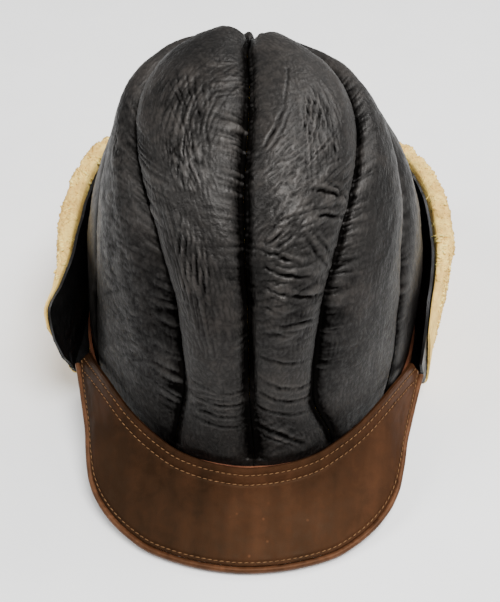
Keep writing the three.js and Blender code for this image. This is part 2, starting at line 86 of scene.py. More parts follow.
def unit(vectors: Array) -> Array:
    """The same directions with length 1."""
    return vectors / np.maximum(np.linalg.norm(vectors, axis=-1, keepdims=True), 1e-9)


def stack(x: Array, y: Array, z: Array) -> Array:
    """Points from their three coordinates, which may be arrays of unlike shapes."""
    return np.stack(np.broadcast_arrays(x, y, z), axis=-1).astype(float)


def noise(x: Array, y: Array, seed: int) -> Array:
    """Smooth gradient noise in the plane, about -0.7 to 0.7, with features about 1 across.

    Args:
        x: first coordinate.
        y: second coordinate.
        seed: number of the pattern.

    Returns:
        The noise at each place.
    """
    rng = np.random.default_rng(seed)
    order = rng.permutation(256)
    turns = rng.random(256) * 2 * np.pi
    cell_x, cell_y = np.floor(x).astype(int), np.floor(y).astype(int)
    fx, fy = x - cell_x, y - cell_y
    fade_x = fx**3 * (fx * (fx * 6 - 15) + 10)
    fade_y = fy**3 * (fy * (fy * 6 - 15) + 10)
    total = np.zeros(np.broadcast(x, y).shape)
    for dx in (0, 1):
        for dy in (0, 1):
            index = order[(order[(cell_x + dx) & 255] + cell_y + dy) & 255]
            turn = turns[index]
            weight = (fade_x if dx else 1 - fade_x) * (fade_y if dy else 1 - fade_y)
            total += weight * (np.cos(turn) * (fx - dx) + np.sin(turn) * (fy - dy))
    return total


def ridges(x: Array, y: Array, seed: int) -> Array:
    """Rounded ridges from 0 to 1 with narrow creases between them."""
    warp = 0.35 * noise(x * 0.6 + 7.1, y * 0.6 - 3.7, seed + 1)
    return np.clip(np.abs(noise(x + warp, y - warp, seed)) * 2.4, 0, 1) ** 0.75


@dataclass(frozen=True)
class Ripple:
    """Smooth unevenness: its height, its size across and up the piece, and the number of its pattern."""

    height: float
    across: float
    up: float
    pattern: int

    def at(self, across: Array, up: Array, shift: int = 0) -> Array:
        """The height at places on the piece; shift picks another pattern of the same kind."""
        return self.height * noise(across / self.across, up / self.up, self.pattern + shift)


def grid_normals(points: Array) -> Array:
    """Outward directions of a grid [row][column] whose rows rise and columns run to the right."""
    up = np.gradient(points, axis=0)
    right = np.gradient(points, axis=1)
    return unit(np.cross(right, up))


@dataclass(frozen=True)
class RestingFrame:
    """How the cap's own frame lies in the row frame: tipped back about X, then moved."""

    tilt: float = 2.6
    offset: tuple[float, float, float] = (0.12096, 11.01636, 14.6594)

    def turn(self) -> Matrix:
        """The rotation from the cap's own frame to the row frame."""
        return Matrix.Rotation(-np.radians(self.tilt), 3, "X")

    def place(self, points: Array) -> Array:
        """Carries points from the cap's own frame in mm to the row frame in metres."""
        return (points @ np.array(self.turn()).T + np.array(self.offset)) / 1000


REST = RestingFrame()


def select_only(obj: bpy.types.Object) -> None:
    """Makes one object the selected and active one."""
    bpy.ops.object.select_all(action="DESELECT")
    obj.select_set(True)
    bpy.context.view_layer.objects.active = obj


@contextmanager
def editing(obj: bpy.types.Object) -> Iterator[None]:
    """Edit mode on one object, with all of it selected."""
    select_only(obj)
    bpy.ops.object.mode_set(mode="EDIT")
    bpy.ops.mesh.select_all(action="SELECT")
    yield
    bpy.ops.object.mode_set(mode="OBJECT")


def read_mesh(rows: object, key: str, width: int = 1, kind: type = float) -> Array:
    """Reads one property of every point, face or loop of a mesh.

    Args:
        rows: the mesh's points, faces or loops.
        key: the property.
        width: how many numbers each has.
        kind: type of the numbers.

    Returns:
        The numbers, with a row for each where width is above 1.
    """
    values = np.empty(len(rows) * width, kind)
    rows.foreach_get(key, values)
    return values.reshape(-1, width) if width > 1 else values


def apply_modifier(obj: bpy.types.Object, kind: str, **settings: object) -> None:
    """Adds a modifier, sets it and applies it.

    Args:
        obj: the piece.
        kind: the modifier's type, such as SOLIDIFY.
        settings: its properties.
    """
    select_only(obj)
    modifier = obj.modifiers.new(kind.title(), kind)
    for key, value in settings.items():
        setattr(modifier, key, value)
    bpy.ops.object.modifier_apply(modifier=modifier.name)


def surface_lengths(points: Array) -> tuple[Array, Array]:
    """Lengths in mm along the columns and along the rows of a grid, from its middle column and row.

    Args:
        points: grid [row][column] of points.

    Returns:
        Distance along the rows, then up the columns.
    """
    across = np.linalg.norm(np.diff(points, axis=1), axis=-1)
    across = np.concatenate([np.zeros((len(points), 1)), np.cumsum(across, axis=1)], axis=1)
    up = np.linalg.norm(np.diff(points[:, points.shape[1] // 2], axis=0), axis=-1)
    up = np.concatenate([[0], np.cumsum(up)])
    return across, np.broadcast_to(up[:, None], across.shape)


def grid_piece(name: str, points: Array, closed: bool = False) -> bpy.types.Object:
    """A sheet from a primitive grid, laid through a grid of points in the cap's own frame.

    Args:
        name: name of the piece.
        points: grid [row][column] of points; seen from outside the columns run to the right.
        closed: joins the last column to the first.

    Returns:
        The piece, with a UV map in tenths of a metre along its surface.
    """
    if closed:
        points = np.concatenate([points, points[:, :1]], axis=1)
    rows, columns = points.shape[:2]
    bpy.ops.object.select_all(action="DESELECT")
    bpy.ops.mesh.primitive_grid_add(x_subdivisions=columns - 1, y_subdivisions=rows - 1, size=1)
    obj = bpy.context.active_object
    obj.name = name
    obj.data.name = name
    mesh = obj.data
    if len(mesh.vertices) != rows * columns:
        raise ValueError(f"{name}: the grid has {len(mesh.vertices)} points, not {rows * columns}")
    mesh.vertices.foreach_set("co", REST.place(points).astype(np.float32).ravel())
    across, up = surface_lengths(points)
    index = read_mesh(mesh.loops, "vertex_index", kind=np.int32)
    uv = np.stack([across.ravel()[index], up.ravel()[index]], axis=-1) / 100
    mesh.uv_layers[0].data.foreach_set("uv", uv.astype(np.float32).ravel())
    mesh.update()
    if closed:
        with editing(obj):
            bpy.ops.mesh.remove_doubles(threshold=1e-6)
    return obj


def thicken(obj: bpy.types.Object, thick: float, keep: float = 1.0, rim_slot: int = 0) -> None:
    """Gives a sheet its wall, inwards, and thins the faces of the hidden inner side.

    Args:
        obj: the sheet.
        thick: wall in mm.
        keep: share of the inner faces that stay.
        rim_slot: material slot offset of the cut edges.
    """
    count = len(obj.data.polygons)
    apply_modifier(
        obj, "SOLIDIFY", thickness=thick / 1000, offset=-1, use_rim=True, material_offset_rim=rim_slot
    )
    if keep >= 1:
        return
    inner = np.zeros(len(obj.data.polygons), bool)
    inner[count : 2 * count] = True
    select_faces(obj, inner)
    bpy.ops.object.mode_set(mode="EDIT")
    bpy.ops.mesh.decimate(ratio=keep)
    bpy.ops.object.mode_set(mode="OBJECT")


def select_faces(obj: bpy.types.Object, chosen: Array) -> None:
    """Selects the faces of a mesh that a mask names, and nothing else of it."""
    select_only(obj)
    mesh = obj.data
    mesh.vertices.foreach_set("select", np.zeros(len(mesh.vertices), bool))
    mesh.edges.foreach_set("select", np.zeros(len(mesh.edges), bool))
    mesh.polygons.foreach_set("select", chosen)
    bpy.ops.object.mode_set(mode="EDIT")
    bpy.context.tool_settings.mesh_select_mode = (False, False, True)
    bpy.ops.object.mode_set(mode="OBJECT")


def keep_values(obj: bpy.types.Object, name: str, values: Array) -> None:
    """Stores a value for each point, which the piece's material reads by its name."""
    attribute = obj.data.attributes.get(name) or obj.data.attributes.new(name, "FLOAT", "POINT")
    attribute.data.foreach_set("value", np.asarray(values, np.float32))


def smooth_shade(obj: bpy.types.Object, angle: float = 50) -> None:
    """Shades a piece smooth except over edges sharper than an angle in degrees."""
    select_only(obj)
    bpy.ops.object.shade_smooth_by_angle(angle=float(np.radians(angle)))


def copies(name: str, model: bpy.types.Object, frames: Array) -> bpy.types.Object:
    """Many copies of one small model in one mesh.

    Args:
        name: name of the piece.
        model: the small mesh in its own frame, in mm; it is deleted.
        frames: for each copy a 3 by 4 matrix into the cap's own frame.

    Returns:
        The piece.
    """
    verts = read_mesh(model.data.vertices, "co", 3)
    placed = np.einsum("nij,vj->nvi", frames[:, :, :3], verts) + frames[:, None, :, 3]
    count, each = placed.shape[:2]
    faces = [list(face.vertices) for face in model.data.polygons]
    sizes = np.array([len(face) for face in faces])
    flat = np.concatenate(faces)
    loops = (flat[None, :] + each * np.arange(count)[:, None]).ravel()
    totals = np.tile(sizes, count)
    starts = np.concatenate([[0], np.cumsum(totals)[:-1]])
    mesh = bpy.data.meshes.new(name)
    mesh.vertices.add(count * each)
    mesh.vertices.foreach_set("co", REST.place(placed.reshape(-1, 3)).astype(np.float32).ravel())
    mesh.loops.add(len(loops))
    mesh.loops.foreach_set("vertex_index", loops.astype(np.int32))
    mesh.polygons.add(len(totals))
    mesh.polygons.foreach_set("loop_start", starts.astype(np.int32))
    mesh.polygons.foreach_set("use_smooth", np.ones(len(totals), bool))
    mesh.update(calc_edges=True)
    mesh.validate()
    obj = bpy.data.objects.new(name, mesh)
    bpy.context.scene.collection.objects.link(obj)
    bpy.data.objects.remove(model)
    return obj


def join(name: str, *pieces: bpy.types.Object) -> bpy.types.Object:
    """Joins pieces into the first one, which takes the name."""
    select_only(pieces[0])
    for piece in pieces:
        piece.select_set(True)
    bpy.ops.object.join()
    pieces[0].name = name
    return pieces[0]


def dress(obj: bpy.types.Object, slot: str, nodes: list[str], *materials: bpy.types.Material) -> None:
    """Gives a finished piece its materials and its body, and hides the solids that it stands for.

    Args:
        obj: the piece.
        slot: the record's material slot; not used.
        nodes: names of the solids that it replaces.
        materials: one for each material slot of the mesh.
    """
    obj.data.materials.clear()
    for material in materials:
        obj.data.materials.append(material)
    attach(obj, "root")
    if nodes:
        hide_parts(*nodes)
    obj.data.calc_loop_triangles()
    LOG.info("%s: %d triangles", obj.name, len(obj.data.loop_triangles))


@dataclass(frozen=True)
class CrownForm:
    """The plain crown without its puffs: an oval rim, a short skirt, then a dome that leans back."""

    half_width: float = 92
    half_length: float = 110.2
    skirt: float = 13
    dome_height: float = 160.2
    lean_x: float = -17.3
    lean_y: float = 17.5
    back_set: float = -3.25
    back_drop: float = 8
    plan_power: float = 2.43
    height_power: float = 2.5
    meet_x: float = 0.02
    meet_y: float = 0.34

    def point(self, angle: Array, row: Array) -> Array:
        """A point of the plain crown.

        Args:
            angle: degrees round the crown.
            row: -1 to 0 on the skirt, 0 to 1 on the dome up to the meeting point.

        Returns:
            The points.
        """
        turn = np.radians(angle)
        x, y = np.sin(turn), -np.cos(turn)
        row = np.asarray(row, float)
        spread = np.maximum(np.cos(np.pi / 2 * np.maximum(row, 0)), 0) ** (2 / self.plan_power)
        px = self.meet_x * (1 - spread) + spread * x
        py = self.meet_y * (1 - spread) + spread * y
        out = np.minimum(1, np.hypot(px, py))
        rise = 2 / np.pi * np.arccos(out ** (self.plan_power / 2))
        dome = np.maximum(1 - out**self.plan_power, 0) ** (1 / self.height_power)
        drop = self.back_drop * smooth(py / 0.7) * smooth(4 * (1 - out))
        return stack(
            self.lean_x * (1 - out) + self.half_width * px,
            self.lean_y * (1 - out) + self.half_length * py + self.back_set * np.sin(np.pi * rise),
            self.skirt * (1 + np.minimum(row, 0)) + self.dome_height * dome - drop,
        )

    def rim_outward(self, angle: Array) -> Array:
        """The level direction out of the rim's wall."""
        turn = np.radians(angle)
        return unit(stack(np.sin(turn) / self.half_width, -np.cos(turn) / self.half_length, 0))

    def outward(self, angle: Array, row: Array) -> Array:
        """The direction out of the plain crown."""
        step = 0.004
        r = np.clip(row, 2 * step, 0.97)
        round_way = self.point(angle + 0.5, r) - self.point(angle - 0.5, r)
        up_way = self.point(angle, r + step) - self.point(angle, r - step)
        dome = unit(np.cross(round_way, up_way))
        return np.where(np.asarray(row)[..., None] <= 0, self.rim_outward(angle), dome)

    def beside_rim(self, angle: Array, out: Array, height: Array) -> Array:
        """A point out from the rim's wall by a distance, at a height above the rim."""
        wall = self.point(angle, -1.0) + self.rim_outward(angle) * np.asarray(out)[..., None]
        return stack(wall[..., 0], wall[..., 1], height)


CROWN = CrownForm()
SEAM_ROWS = [0, 0.1, 0.25, 0.4, 0.5, 0.6, 0.7, 0.85, 1]
SEAMS = {
    "back_left": [-180, -180, -180, -180, -180, -180, -180, -180, -180],
    "rear_left": [-118, -118, -121, -127, -132, -138, -143, -150, -156],
    "side_left": [-62, -64, -72, -84, -94, -104, -113, -124, -131],
    "front_left": [-20, -17, -21, -33, -49, -69, -85, -97, -98],
    "centre": [6, 4, 3, 2, 2, 4, 7, 13, 18],
    "front_right": [32, 24, 27, 38, 51, 67, 82, 97, 100],
    "side_right": [57, 61, 68, 83, 94, 105, 114, 125, 132],
    "rear_right": [118, 118, 121, 127, 132, 138, 143, 150, 156],
    "back_right": [180, 180, 180, 180, 180, 180, 180, 180, 180],
}


@dataclass(frozen=True)
class SeamValley:
    """The valley at each seam: its depth in mm at the rim, above it and at the meeting point."""

    at_rim: float = 1.8
    above: float = 7.5
    at_meeting: float = 4
    rise_row: float = 0.25
    close_row: float = 0.07
    roundness: float = 2.15


VALLEY = SeamValley()


@dataclass(frozen=True)
class CreaseField:
    """A patch of near parallel creases on a gore.

    row and across place its middle, reach_row and reach_across its size; turn is the creases' direction
    in degrees from straight up, positive to the right; spacing, length and depth are in mm.
    """

    row: float
    across: float
    reach_row: float
    reach_across: float
    turn: float
    spacing: float
    length: float
    depth: float

    wave_wide = 1.5
    wave_share = 0.7
    fine_wide = 0.8
    fine_long = 0.6
    fine_share = 0.3
    edge_power = 1.4


@dataclass(frozen=True)
class Puckers:
    """Short ridges that run off a seam: the side, the rows, and sizes in mm; lean is in degrees."""

    side: str
    start: float
    end: float
    spacing: float
    reach: float
    depth: float
    lean: float = 0

    ridge_wide = 1.5
    ridge_long = 2.2
    level = 0.55
    end_rows = 0.05


@dataclass(frozen=True)
class Fold:
    """One crease from a place on the gore to another, bowed to its left, with its sizes in mm."""

    row: float
    across: float
    to_row: float
    to_across: float
    bow: float
    width: float
    depth: float

    points = 40
    wander = 0.9
    wander_length = 4.5
    reach = 4
    ridge_away = 1.9
    ridge_share = 0.5


@dataclass
class Gore:
    """One sewn panel of the crown, puffed by the wool inside it.

    start and end name its seams; crest is how far its face stands above the plain crown, in mm, and
    shoulder how much more it does high up; seam_reach is how far each seam's valley and its painted shade
    reach; painted_shade_low darkens its lower part with painted shade and painted_light_high lightens its
    upper part with painted light.
    """

    name: str
    start: str
    end: str
    crest: float
    shoulder: float
    columns: int
    rows: int
    fields: list[CreaseField] = field(default_factory=list)
    puckers: list[Puckers] = field(default_factory=list)
    folds: list[Fold] = field(default_factory=list)
    seam_reach: tuple[float, float] = (3.5, 3.5)
    # painted shade on the lower part and painted light on the upper part
    painted_shade_low: float = 0.08
    painted_light_high: float = 0.0
    seed: int = 1

    wall = 1.6
    inner_share = 0.05
    last_row = 0.9985
    even_share = 0.6
    crinkle = 0.21
    crinkle_across = 2.3
    crinkle_up = 3.1
    lumps = (Ripple(0.9, 24, 30, 91), Ripple(0.4, 9, 11, 92))
    seam_depth = 1.9
    seam_open_from = 0.9
    seam_open_over = 2.6
    edge_fade = 1.6
    top_fade = 0.06
    # the tone mask follows the relief: rubbed ridges lighter, creases darker with painted shade
    ridge_rub_and_crease_shade = 0.85
    # painted shade near the seams, where the valleys lie
    seam_painted_shade = 0.5
    face_gap = 0.04

    def puff(self, across: Array, row: Array) -> Array:
        """How far the gore's face stands from the plain crown, in mm."""
        rise = smooth(row / VALLEY.rise_row)
        opened = smooth((1 - row) / VALLEY.close_row)
        depth = VALLEY.at_rim + (VALLEY.above - VALLEY.at_rim) * rise
        depth = depth + (VALLEY.at_meeting - VALLEY.above) * (1 - opened)
        power = VALLEY.roundness
        rounded = np.maximum(1 - np.abs(2 * across - 1) ** power, 0) ** (1 / power)
        high = smooth((row - 0.4) / 0.25) * smooth((0.92 - row) / 0.2)
        crest = self.crest * rise + self.shoulder * high
        return -depth + (depth + crest) * rounded * opened

    def surface(
        self, across: Array, row: Array, inward: Array | float = 0.0, half_gap: float = 0.15
    ) -> Array:
        """Points of the gore's smooth face.

        Args:
            across: 0 to 1 from its first to its second seam.
            row: -1 to 1 up the gore.
            inward: how far inside the face, in mm.
            half_gap: room left at each seam, in mm.

        Returns:
            The points.
        """
        start = along(SEAM_ROWS, SEAMS[self.start], np.maximum(row, 0))
        end = along(SEAM_ROWS, SEAMS[self.end], np.maximum(row, 0))
        middle = (start + end) / 2
        a_degree = np.linalg.norm(CROWN.point(middle + 0.5, row) - CROWN.point(middle - 0.5, row), axis=-1)
        start, end = start + half_gap / a_degree, end - half_gap / a_degree
        angle = start + (end - start) * across
        out = self.puff(across, row) - inward
        return CROWN.point(angle, row) + CROWN.outward(angle, row) * out[..., None]

    def grid(self) -> tuple[Array, Array, Array]:
        """The fine grid of the face.

        Returns:
            The points, and each point's across and row.
        """
        even = np.linspace(0, 1, self.columns)
        across = self.even_share * even + (1 - self.even_share) * (0.5 - 0.5 * np.cos(np.pi * even))
        low = np.linspace(-1, 0, max(self.rows // 16, 4))[:-1]
        high = np.linspace(0, self.last_row, self.rows)
        row, across = np.meshgrid(np.concatenate([low, high]), across, indexing="ij")
        return self.surface(across, row, half_gap=self.face_gap), across, row

    def relief(self, points: Array, across: Array, row: Array) -> tuple[Array, Array]:
        """The leather's creases, puckers and folds over its smooth face.

        Args:
            points: the smooth face.
            across: 0 to 1 over each row.
            row: -1 to 1 up the gore.

        Returns:
            The height in mm at each point, and its tone mask from 0 in a crease to 1 on a ridge: rubbed
            ridges, painted shade in creases, at seams and low down, painted light high up.
        """
        from_start, up = surface_lengths(points)
        to_end = from_start[:, -1:] - from_start
        side = from_start - from_start[:, -1:] / 2
        fine = ridges(side / self.crinkle_across, up / self.crinkle_up, self.seed + 90)
        height = self.crinkle * (fine - 0.5)
        lumps = sum(ripple.at(side, up, self.seed) for ripple in self.lumps)
        for number, patch in enumerate(self.fields):
            height = height + self.patch_height(patch, side, up, across, row, self.seed + 3 * number)
        for number, rill in enumerate(self.puckers):
            away = from_start if rill.side == "start" else to_end
            height = height + self.pucker_height(rill, away, up, row, self.seed + 40 + number)
        for crease in self.folds:
            height = height + self.fold_height(crease, side, up, across, row)
        edge = np.minimum(from_start, to_end)
        fade = smooth(edge / self.edge_fade + 0.05) * smooth((1 - row) / self.top_fade)
        # nearness to each seam: it opens the valley in the relief and puts painted shade in the tone mask
        seam = np.exp(-((from_start / self.seam_reach[0]) ** 2))
        seam = (seam + np.exp(-((to_end / self.seam_reach[1]) ** 2))) * smooth((row + 0.04) / 0.06)
        # tone mask: rubbed ridges lighter, painted shade in creases and near the seams
        rub_and_painted_light = 0.5 + self.ridge_rub_and_crease_shade * height * fade - self.seam_painted_shade * seam
        # painted light on the upper part and painted shade on the lower part of the gore
        rub_and_painted_light = rub_and_painted_light + self.painted_light_high * smooth((row - 0.5) / 0.3) - self.painted_shade_low * smooth((0.5 - row) / 0.4)
        opened = self.seam_depth * seam * smooth((edge - self.seam_open_from) / self.seam_open_over)
        return (height + lumps) * fade - opened, np.clip(rub_and_painted_light, 0, 1)

    @staticmethod
    def patch_height(
        patch: CreaseField, side: Array, up: Array, across: Array, row: Array, seed: int
    ) -> Array:
        """Height of one patch of creases."""
        turn = np.radians(patch.turn)
        with_crease = up * np.cos(turn) + side * np.sin(turn)
        over_crease = side * np.cos(turn) - up * np.sin(turn)
        wave = ridges(over_crease / (patch.wave_wide * patch.spacing), with_crease / patch.length, seed)
        fine_wide, fine_long = patch.fine_wide * patch.spacing, patch.fine_long * patch.length
        fine = ridges(over_crease / fine_wide, with_crease / fine_long, seed + 1)
        shape = patch.wave_share * wave + patch.fine_share * fine - 0.5
        far = ((row - patch.row) / patch.reach_row) ** 2 + ((across - patch.across) / patch.reach_across) ** 2
        return patch.depth * shape * np.exp(-(far**patch.edge_power))

    @staticmethod
    def pucker_height(rill: Puckers, away: Array, up: Array, row: Array, seed: int) -> Array:
        """Height of one row of puckers along a seam."""
        slid = up + away * np.tan(np.radians(rill.lean))
        wave = ridges(slid / (rill.ridge_wide * rill.spacing), away / (rill.ridge_long * rill.reach), seed)
        near = np.exp(-((away / rill.reach) ** 2))
        window = smooth((row - rill.start) / rill.end_rows) * smooth((rill.end - row) / rill.end_rows)
        patchy = 0.65 + 0.7 * noise(up / 21, away / 40, seed + 7)
        return rill.depth * (wave - rill.level) * near * window * patchy

    @staticmethod
    def fold_height(crease: Fold, side: Array, up: Array, across: Array, row: Array) -> Array:
        """Height of one crease: a valley with a low ridge on each side."""
        ends = []
        for at_row, at_across in ((crease.row, crease.across), (crease.to_row, crease.to_across)):
            line = np.abs(row[:, 0] - at_row).argmin()
            ends.append(np.array([np.interp(at_across, across[line], side[line]), up[line, 0]]))
        begin, finish = ends
        way = finish - begin
        length = np.linalg.norm(way)
        bend = (begin + finish) / 2 + crease.bow * np.array([-way[1], way[0]]) / length
        t = np.linspace(0, 1, crease.points)[:, None]
        line = (1 - t) ** 2 * begin + 2 * t * (1 - t) * bend + t**2 * finish
        size = crease.wander_length
        line = line + crease.wander * noise(line / size + 3.3, line[:, ::-1] / size, 17)
        reach = crease.reach * crease.width
        low, high = line.min(axis=0) - reach, line.max(axis=0) + reach
        inside = (side > low[0]) & (side < high[0]) & (up > low[1]) & (up < high[1])
        places = np.stack([side[inside], up[inside]], axis=-1)
        gaps = np.linalg.norm(places[:, None] - line[None], axis=-1)
        nearest = gaps.argmin(axis=1)
        away = gaps.min(axis=1) / crease.width
        fade = np.sin(np.pi * np.clip(nearest / (len(line) - 1), 0.02, 0.98)) ** 0.7
        height = np.zeros(side.shape)
        patchy = np.clip(0.8 + 1.3 * noise(places[:, 0] / 5, places[:, 1] / 5, 19), 0.2, 1.4)
        shape = crease.ridge_share * np.exp(-((away - crease.ridge_away) ** 2)) - np.exp(-(away**2))
        height[inside] = crease.depth * fade * patchy * shape
        return height

    def build(self) -> bpy.types.Object:
        """Models the gore as a closed leather wall with its creases."""
        points, across, row = self.grid()
        height, rub_and_painted_light = self.relief(points, across, row)
        obj = grid_piece(f"{self.name}_leather", points + grid_normals(points) * height[..., None])
        # stores the tone mask: rubbed ridges, painted shade in creases and at seams, painted light high up
        keep_values(obj, "rub_and_painted_light", rub_and_painted_light.ravel())
        thicken(obj, self.wall, self.inner_share)
        smooth_shade(obj)
        return obj


class Nodes:
    """Short ways to add and join the nodes of one material or group."""

    def __init__(self, tree: bpy.types.NodeTree) -> None:
        """Holds the tree that the nodes go into."""
        self.tree = tree

    def add(self, kind: str, inputs: dict[str, object] | None = None, **settings: object) -> bpy.types.Node:
        """Adds a node.

        Args:
            kind: the node's type without its ShaderNode prefix.
            inputs: values or sockets for its inputs, by name or number.
            settings: its other properties.

        Returns:
            The node.
        """
        node = self.tree.nodes.new("ShaderNode" + kind)
        for key, value in settings.items():
            setattr(node, key, value)
        self.fill(node, inputs or {})
        return node

    def fill(self, node: bpy.types.Node, inputs: dict[str, object]) -> None:
        """Sets inputs of a node to values, or joins them to sockets."""
        for key, value in inputs.items():
            if isinstance(value, bpy.types.NodeSocket):
                self.tree.links.new(value, node.inputs[key])
            else:
                node.inputs[key].default_value = value

    def maths(self, operation: str, first: object, second: object = 0.0) -> bpy.types.NodeSocket:
        """One sum of two values or sockets."""
        return self.add("Math", {0: first, 1: second}, operation=operation).outputs[0]

    def swing(self, value: object, size: float) -> bpy.types.NodeSocket:
        """Turns a value of 0 to 1 into a swing of this size about 0."""
        return self.maths("MULTIPLY", self.maths("SUBTRACT", value, 0.5), size)

    def span(
        self, value: object, start: float, end: float, low: float = 0.0, high: float = 1.0
    ) -> bpy.types.NodeSocket:
        """Carries a value's range from start to end onto low to high, and stops there."""
        return self.add("MapRange", {0: value, 1: start, 2: end, 3: low, 4: high}, clamp=True).outputs[0]

    def bump(self, height: object, depth: float, strength: float) -> bpy.types.NodeSocket:
        """A rough surface's normal, from its height and its depth in mm."""
        inputs = {"Height": height, "Distance": depth / 1000, "Strength": strength}
        return self.add("Bump", inputs).outputs[0]

    def ramp(self, factor: bpy.types.NodeSocket, stops: list[tuple[float, object]]) -> bpy.types.NodeSocket:
        """A colour ramp.

        Args:
            factor: what drives it.
            stops: place and colour, or place and grey, of each stop.

        Returns:
            Its colour.
        """
        node = self.add("ValToRGB", {0: factor})
        bar = node.color_ramp.elements
        while len(bar) < len(stops):
            bar.new(0.5)
        for element, (place, colour) in zip(bar, stops):
            element.position = place
            shade = (colour,) * 3 if isinstance(colour, (int, float)) else colour
            element.color = (*shade, 1)
        return node.outputs[0]

    def mix(self, factor: object, *colours: object) -> bpy.types.NodeSocket:
        """Mixes two colours or sockets."""
        first, second = (c if isinstance(c, bpy.types.NodeSocket) else (*c, 1) for c in colours)
        return self.add("Mix", {0: factor, 6: first, 7: second}, data_type="RGBA").outputs[2]


class Effects:
    """Node groups that several finishes share."""

    def __init__(self) -> None:
        """Builds the groups."""
        self.grain = self.make("leather_grain", "Height")
        self.fill_grain()
        self.mottle = self.make("mottle", "Mask")
        self.fill_mottle()

    @staticmethod
    def make(name: str, output: str) -> bpy.types.NodeTree:
        """An empty group that takes coordinates and a size, with the name of the value that it gives."""
        tree = bpy.data.node_groups.new(name, "ShaderNodeTree")
        for label, way, kind in (
            ("Vector", "INPUT", "Vector"), ("Size mm", "INPUT", "Float"), (output, "OUTPUT", "Float"),
        ):
            tree.interface.new_socket(name=label, in_out=way, socket_type="NodeSocket" + kind)
        tree.nodes.new("NodeGroupInput")
        tree.nodes.new("NodeGroupOutput")
        return tree

    @staticmethod
    def ends(tree: bpy.types.NodeTree) -> tuple[Nodes, bpy.types.Node, bpy.types.Node]:
        """The group's helper, its input node and its output node."""
        return Nodes(tree), tree.nodes["Group Input"], tree.nodes["Group Output"]

    def fill_grain(self) -> None:
        """Pebbled grain: rounded cells with fine lines between them, and pores."""
        nodes, source, target = self.ends(self.grain)
        scale = nodes.maths("DIVIDE", 1000.0, source.outputs["Size mm"])
        wide = nodes.maths("MULTIPLY", scale, 0.45)
        warp = nodes.add("TexNoise", {"Vector": source.outputs["Vector"], "Scale": wide, "Detail": 2.0})
        bent = nodes.add("VectorMath", {0: warp.outputs["Color"], 1: (0.5, 0.5, 0.5)}, operation="SUBTRACT")
        small = nodes.add("VectorMath", {0: bent.outputs[0]}, operation="SCALE")
        nodes.fill(small, {"Scale": nodes.maths("DIVIDE", 0.9, scale)})
        place = nodes.add("VectorMath", {0: source.outputs["Vector"], 1: small.outputs[0]}, operation="ADD")
        cells = nodes.add("TexVoronoi", {"Vector": place.outputs[0], "Scale": scale}, feature="SMOOTH_F1")
        fine = nodes.add("TexNoise", {"Vector": place.outputs[0], "Scale": scale, "Detail": 4.0})
        lower = nodes.maths("MULTIPLY", cells.outputs["Distance"], -0.8)
        height = nodes.maths("ADD", lower, nodes.maths("MULTIPLY", fine.outputs[0], 0.7))
        nodes.fill(target, {"Height": height})

    def fill_mottle(self) -> None:
        """Soft uneven patches, 0 to 1."""
        nodes, source, target = self.ends(self.mottle)
        scale = nodes.maths("DIVIDE", 1000.0, source.outputs["Size mm"])
        cloud = nodes.add(
            "TexNoise",
            {"Vector": source.outputs["Vector"], "Scale": scale, "Detail": 5.0, "Roughness": 0.55,
             "Distortion": 0.4},
        )
        nodes.fill(target, {"Mask": nodes.span(cloud.outputs[0], 0.32, 0.68)})

    def use(
        self, nodes: Nodes, group: bpy.types.NodeTree, vector: object, size: float
    ) -> bpy.types.NodeSocket:
        """Places a group in a material.

        Args:
            nodes: the material's helper.
            group: the group.
            vector: coordinates socket.
            size: size of its features in mm.

        Returns:
            Its first output.
        """
        node = nodes.tree.nodes.new("ShaderNodeGroup")
        node.node_tree = group
        nodes.fill(node, {"Vector": vector, "Size mm": size})
        return node.outputs[0]


def start_material(name: str) -> tuple[bpy.types.Material, Nodes, bpy.types.Node]:
    """A new material with its helper and its Principled shader."""
    material = bpy.data.materials.new(name)
    material.use_nodes = True
    return material, Nodes(material.node_tree), material.node_tree.nodes["Principled BSDF"]


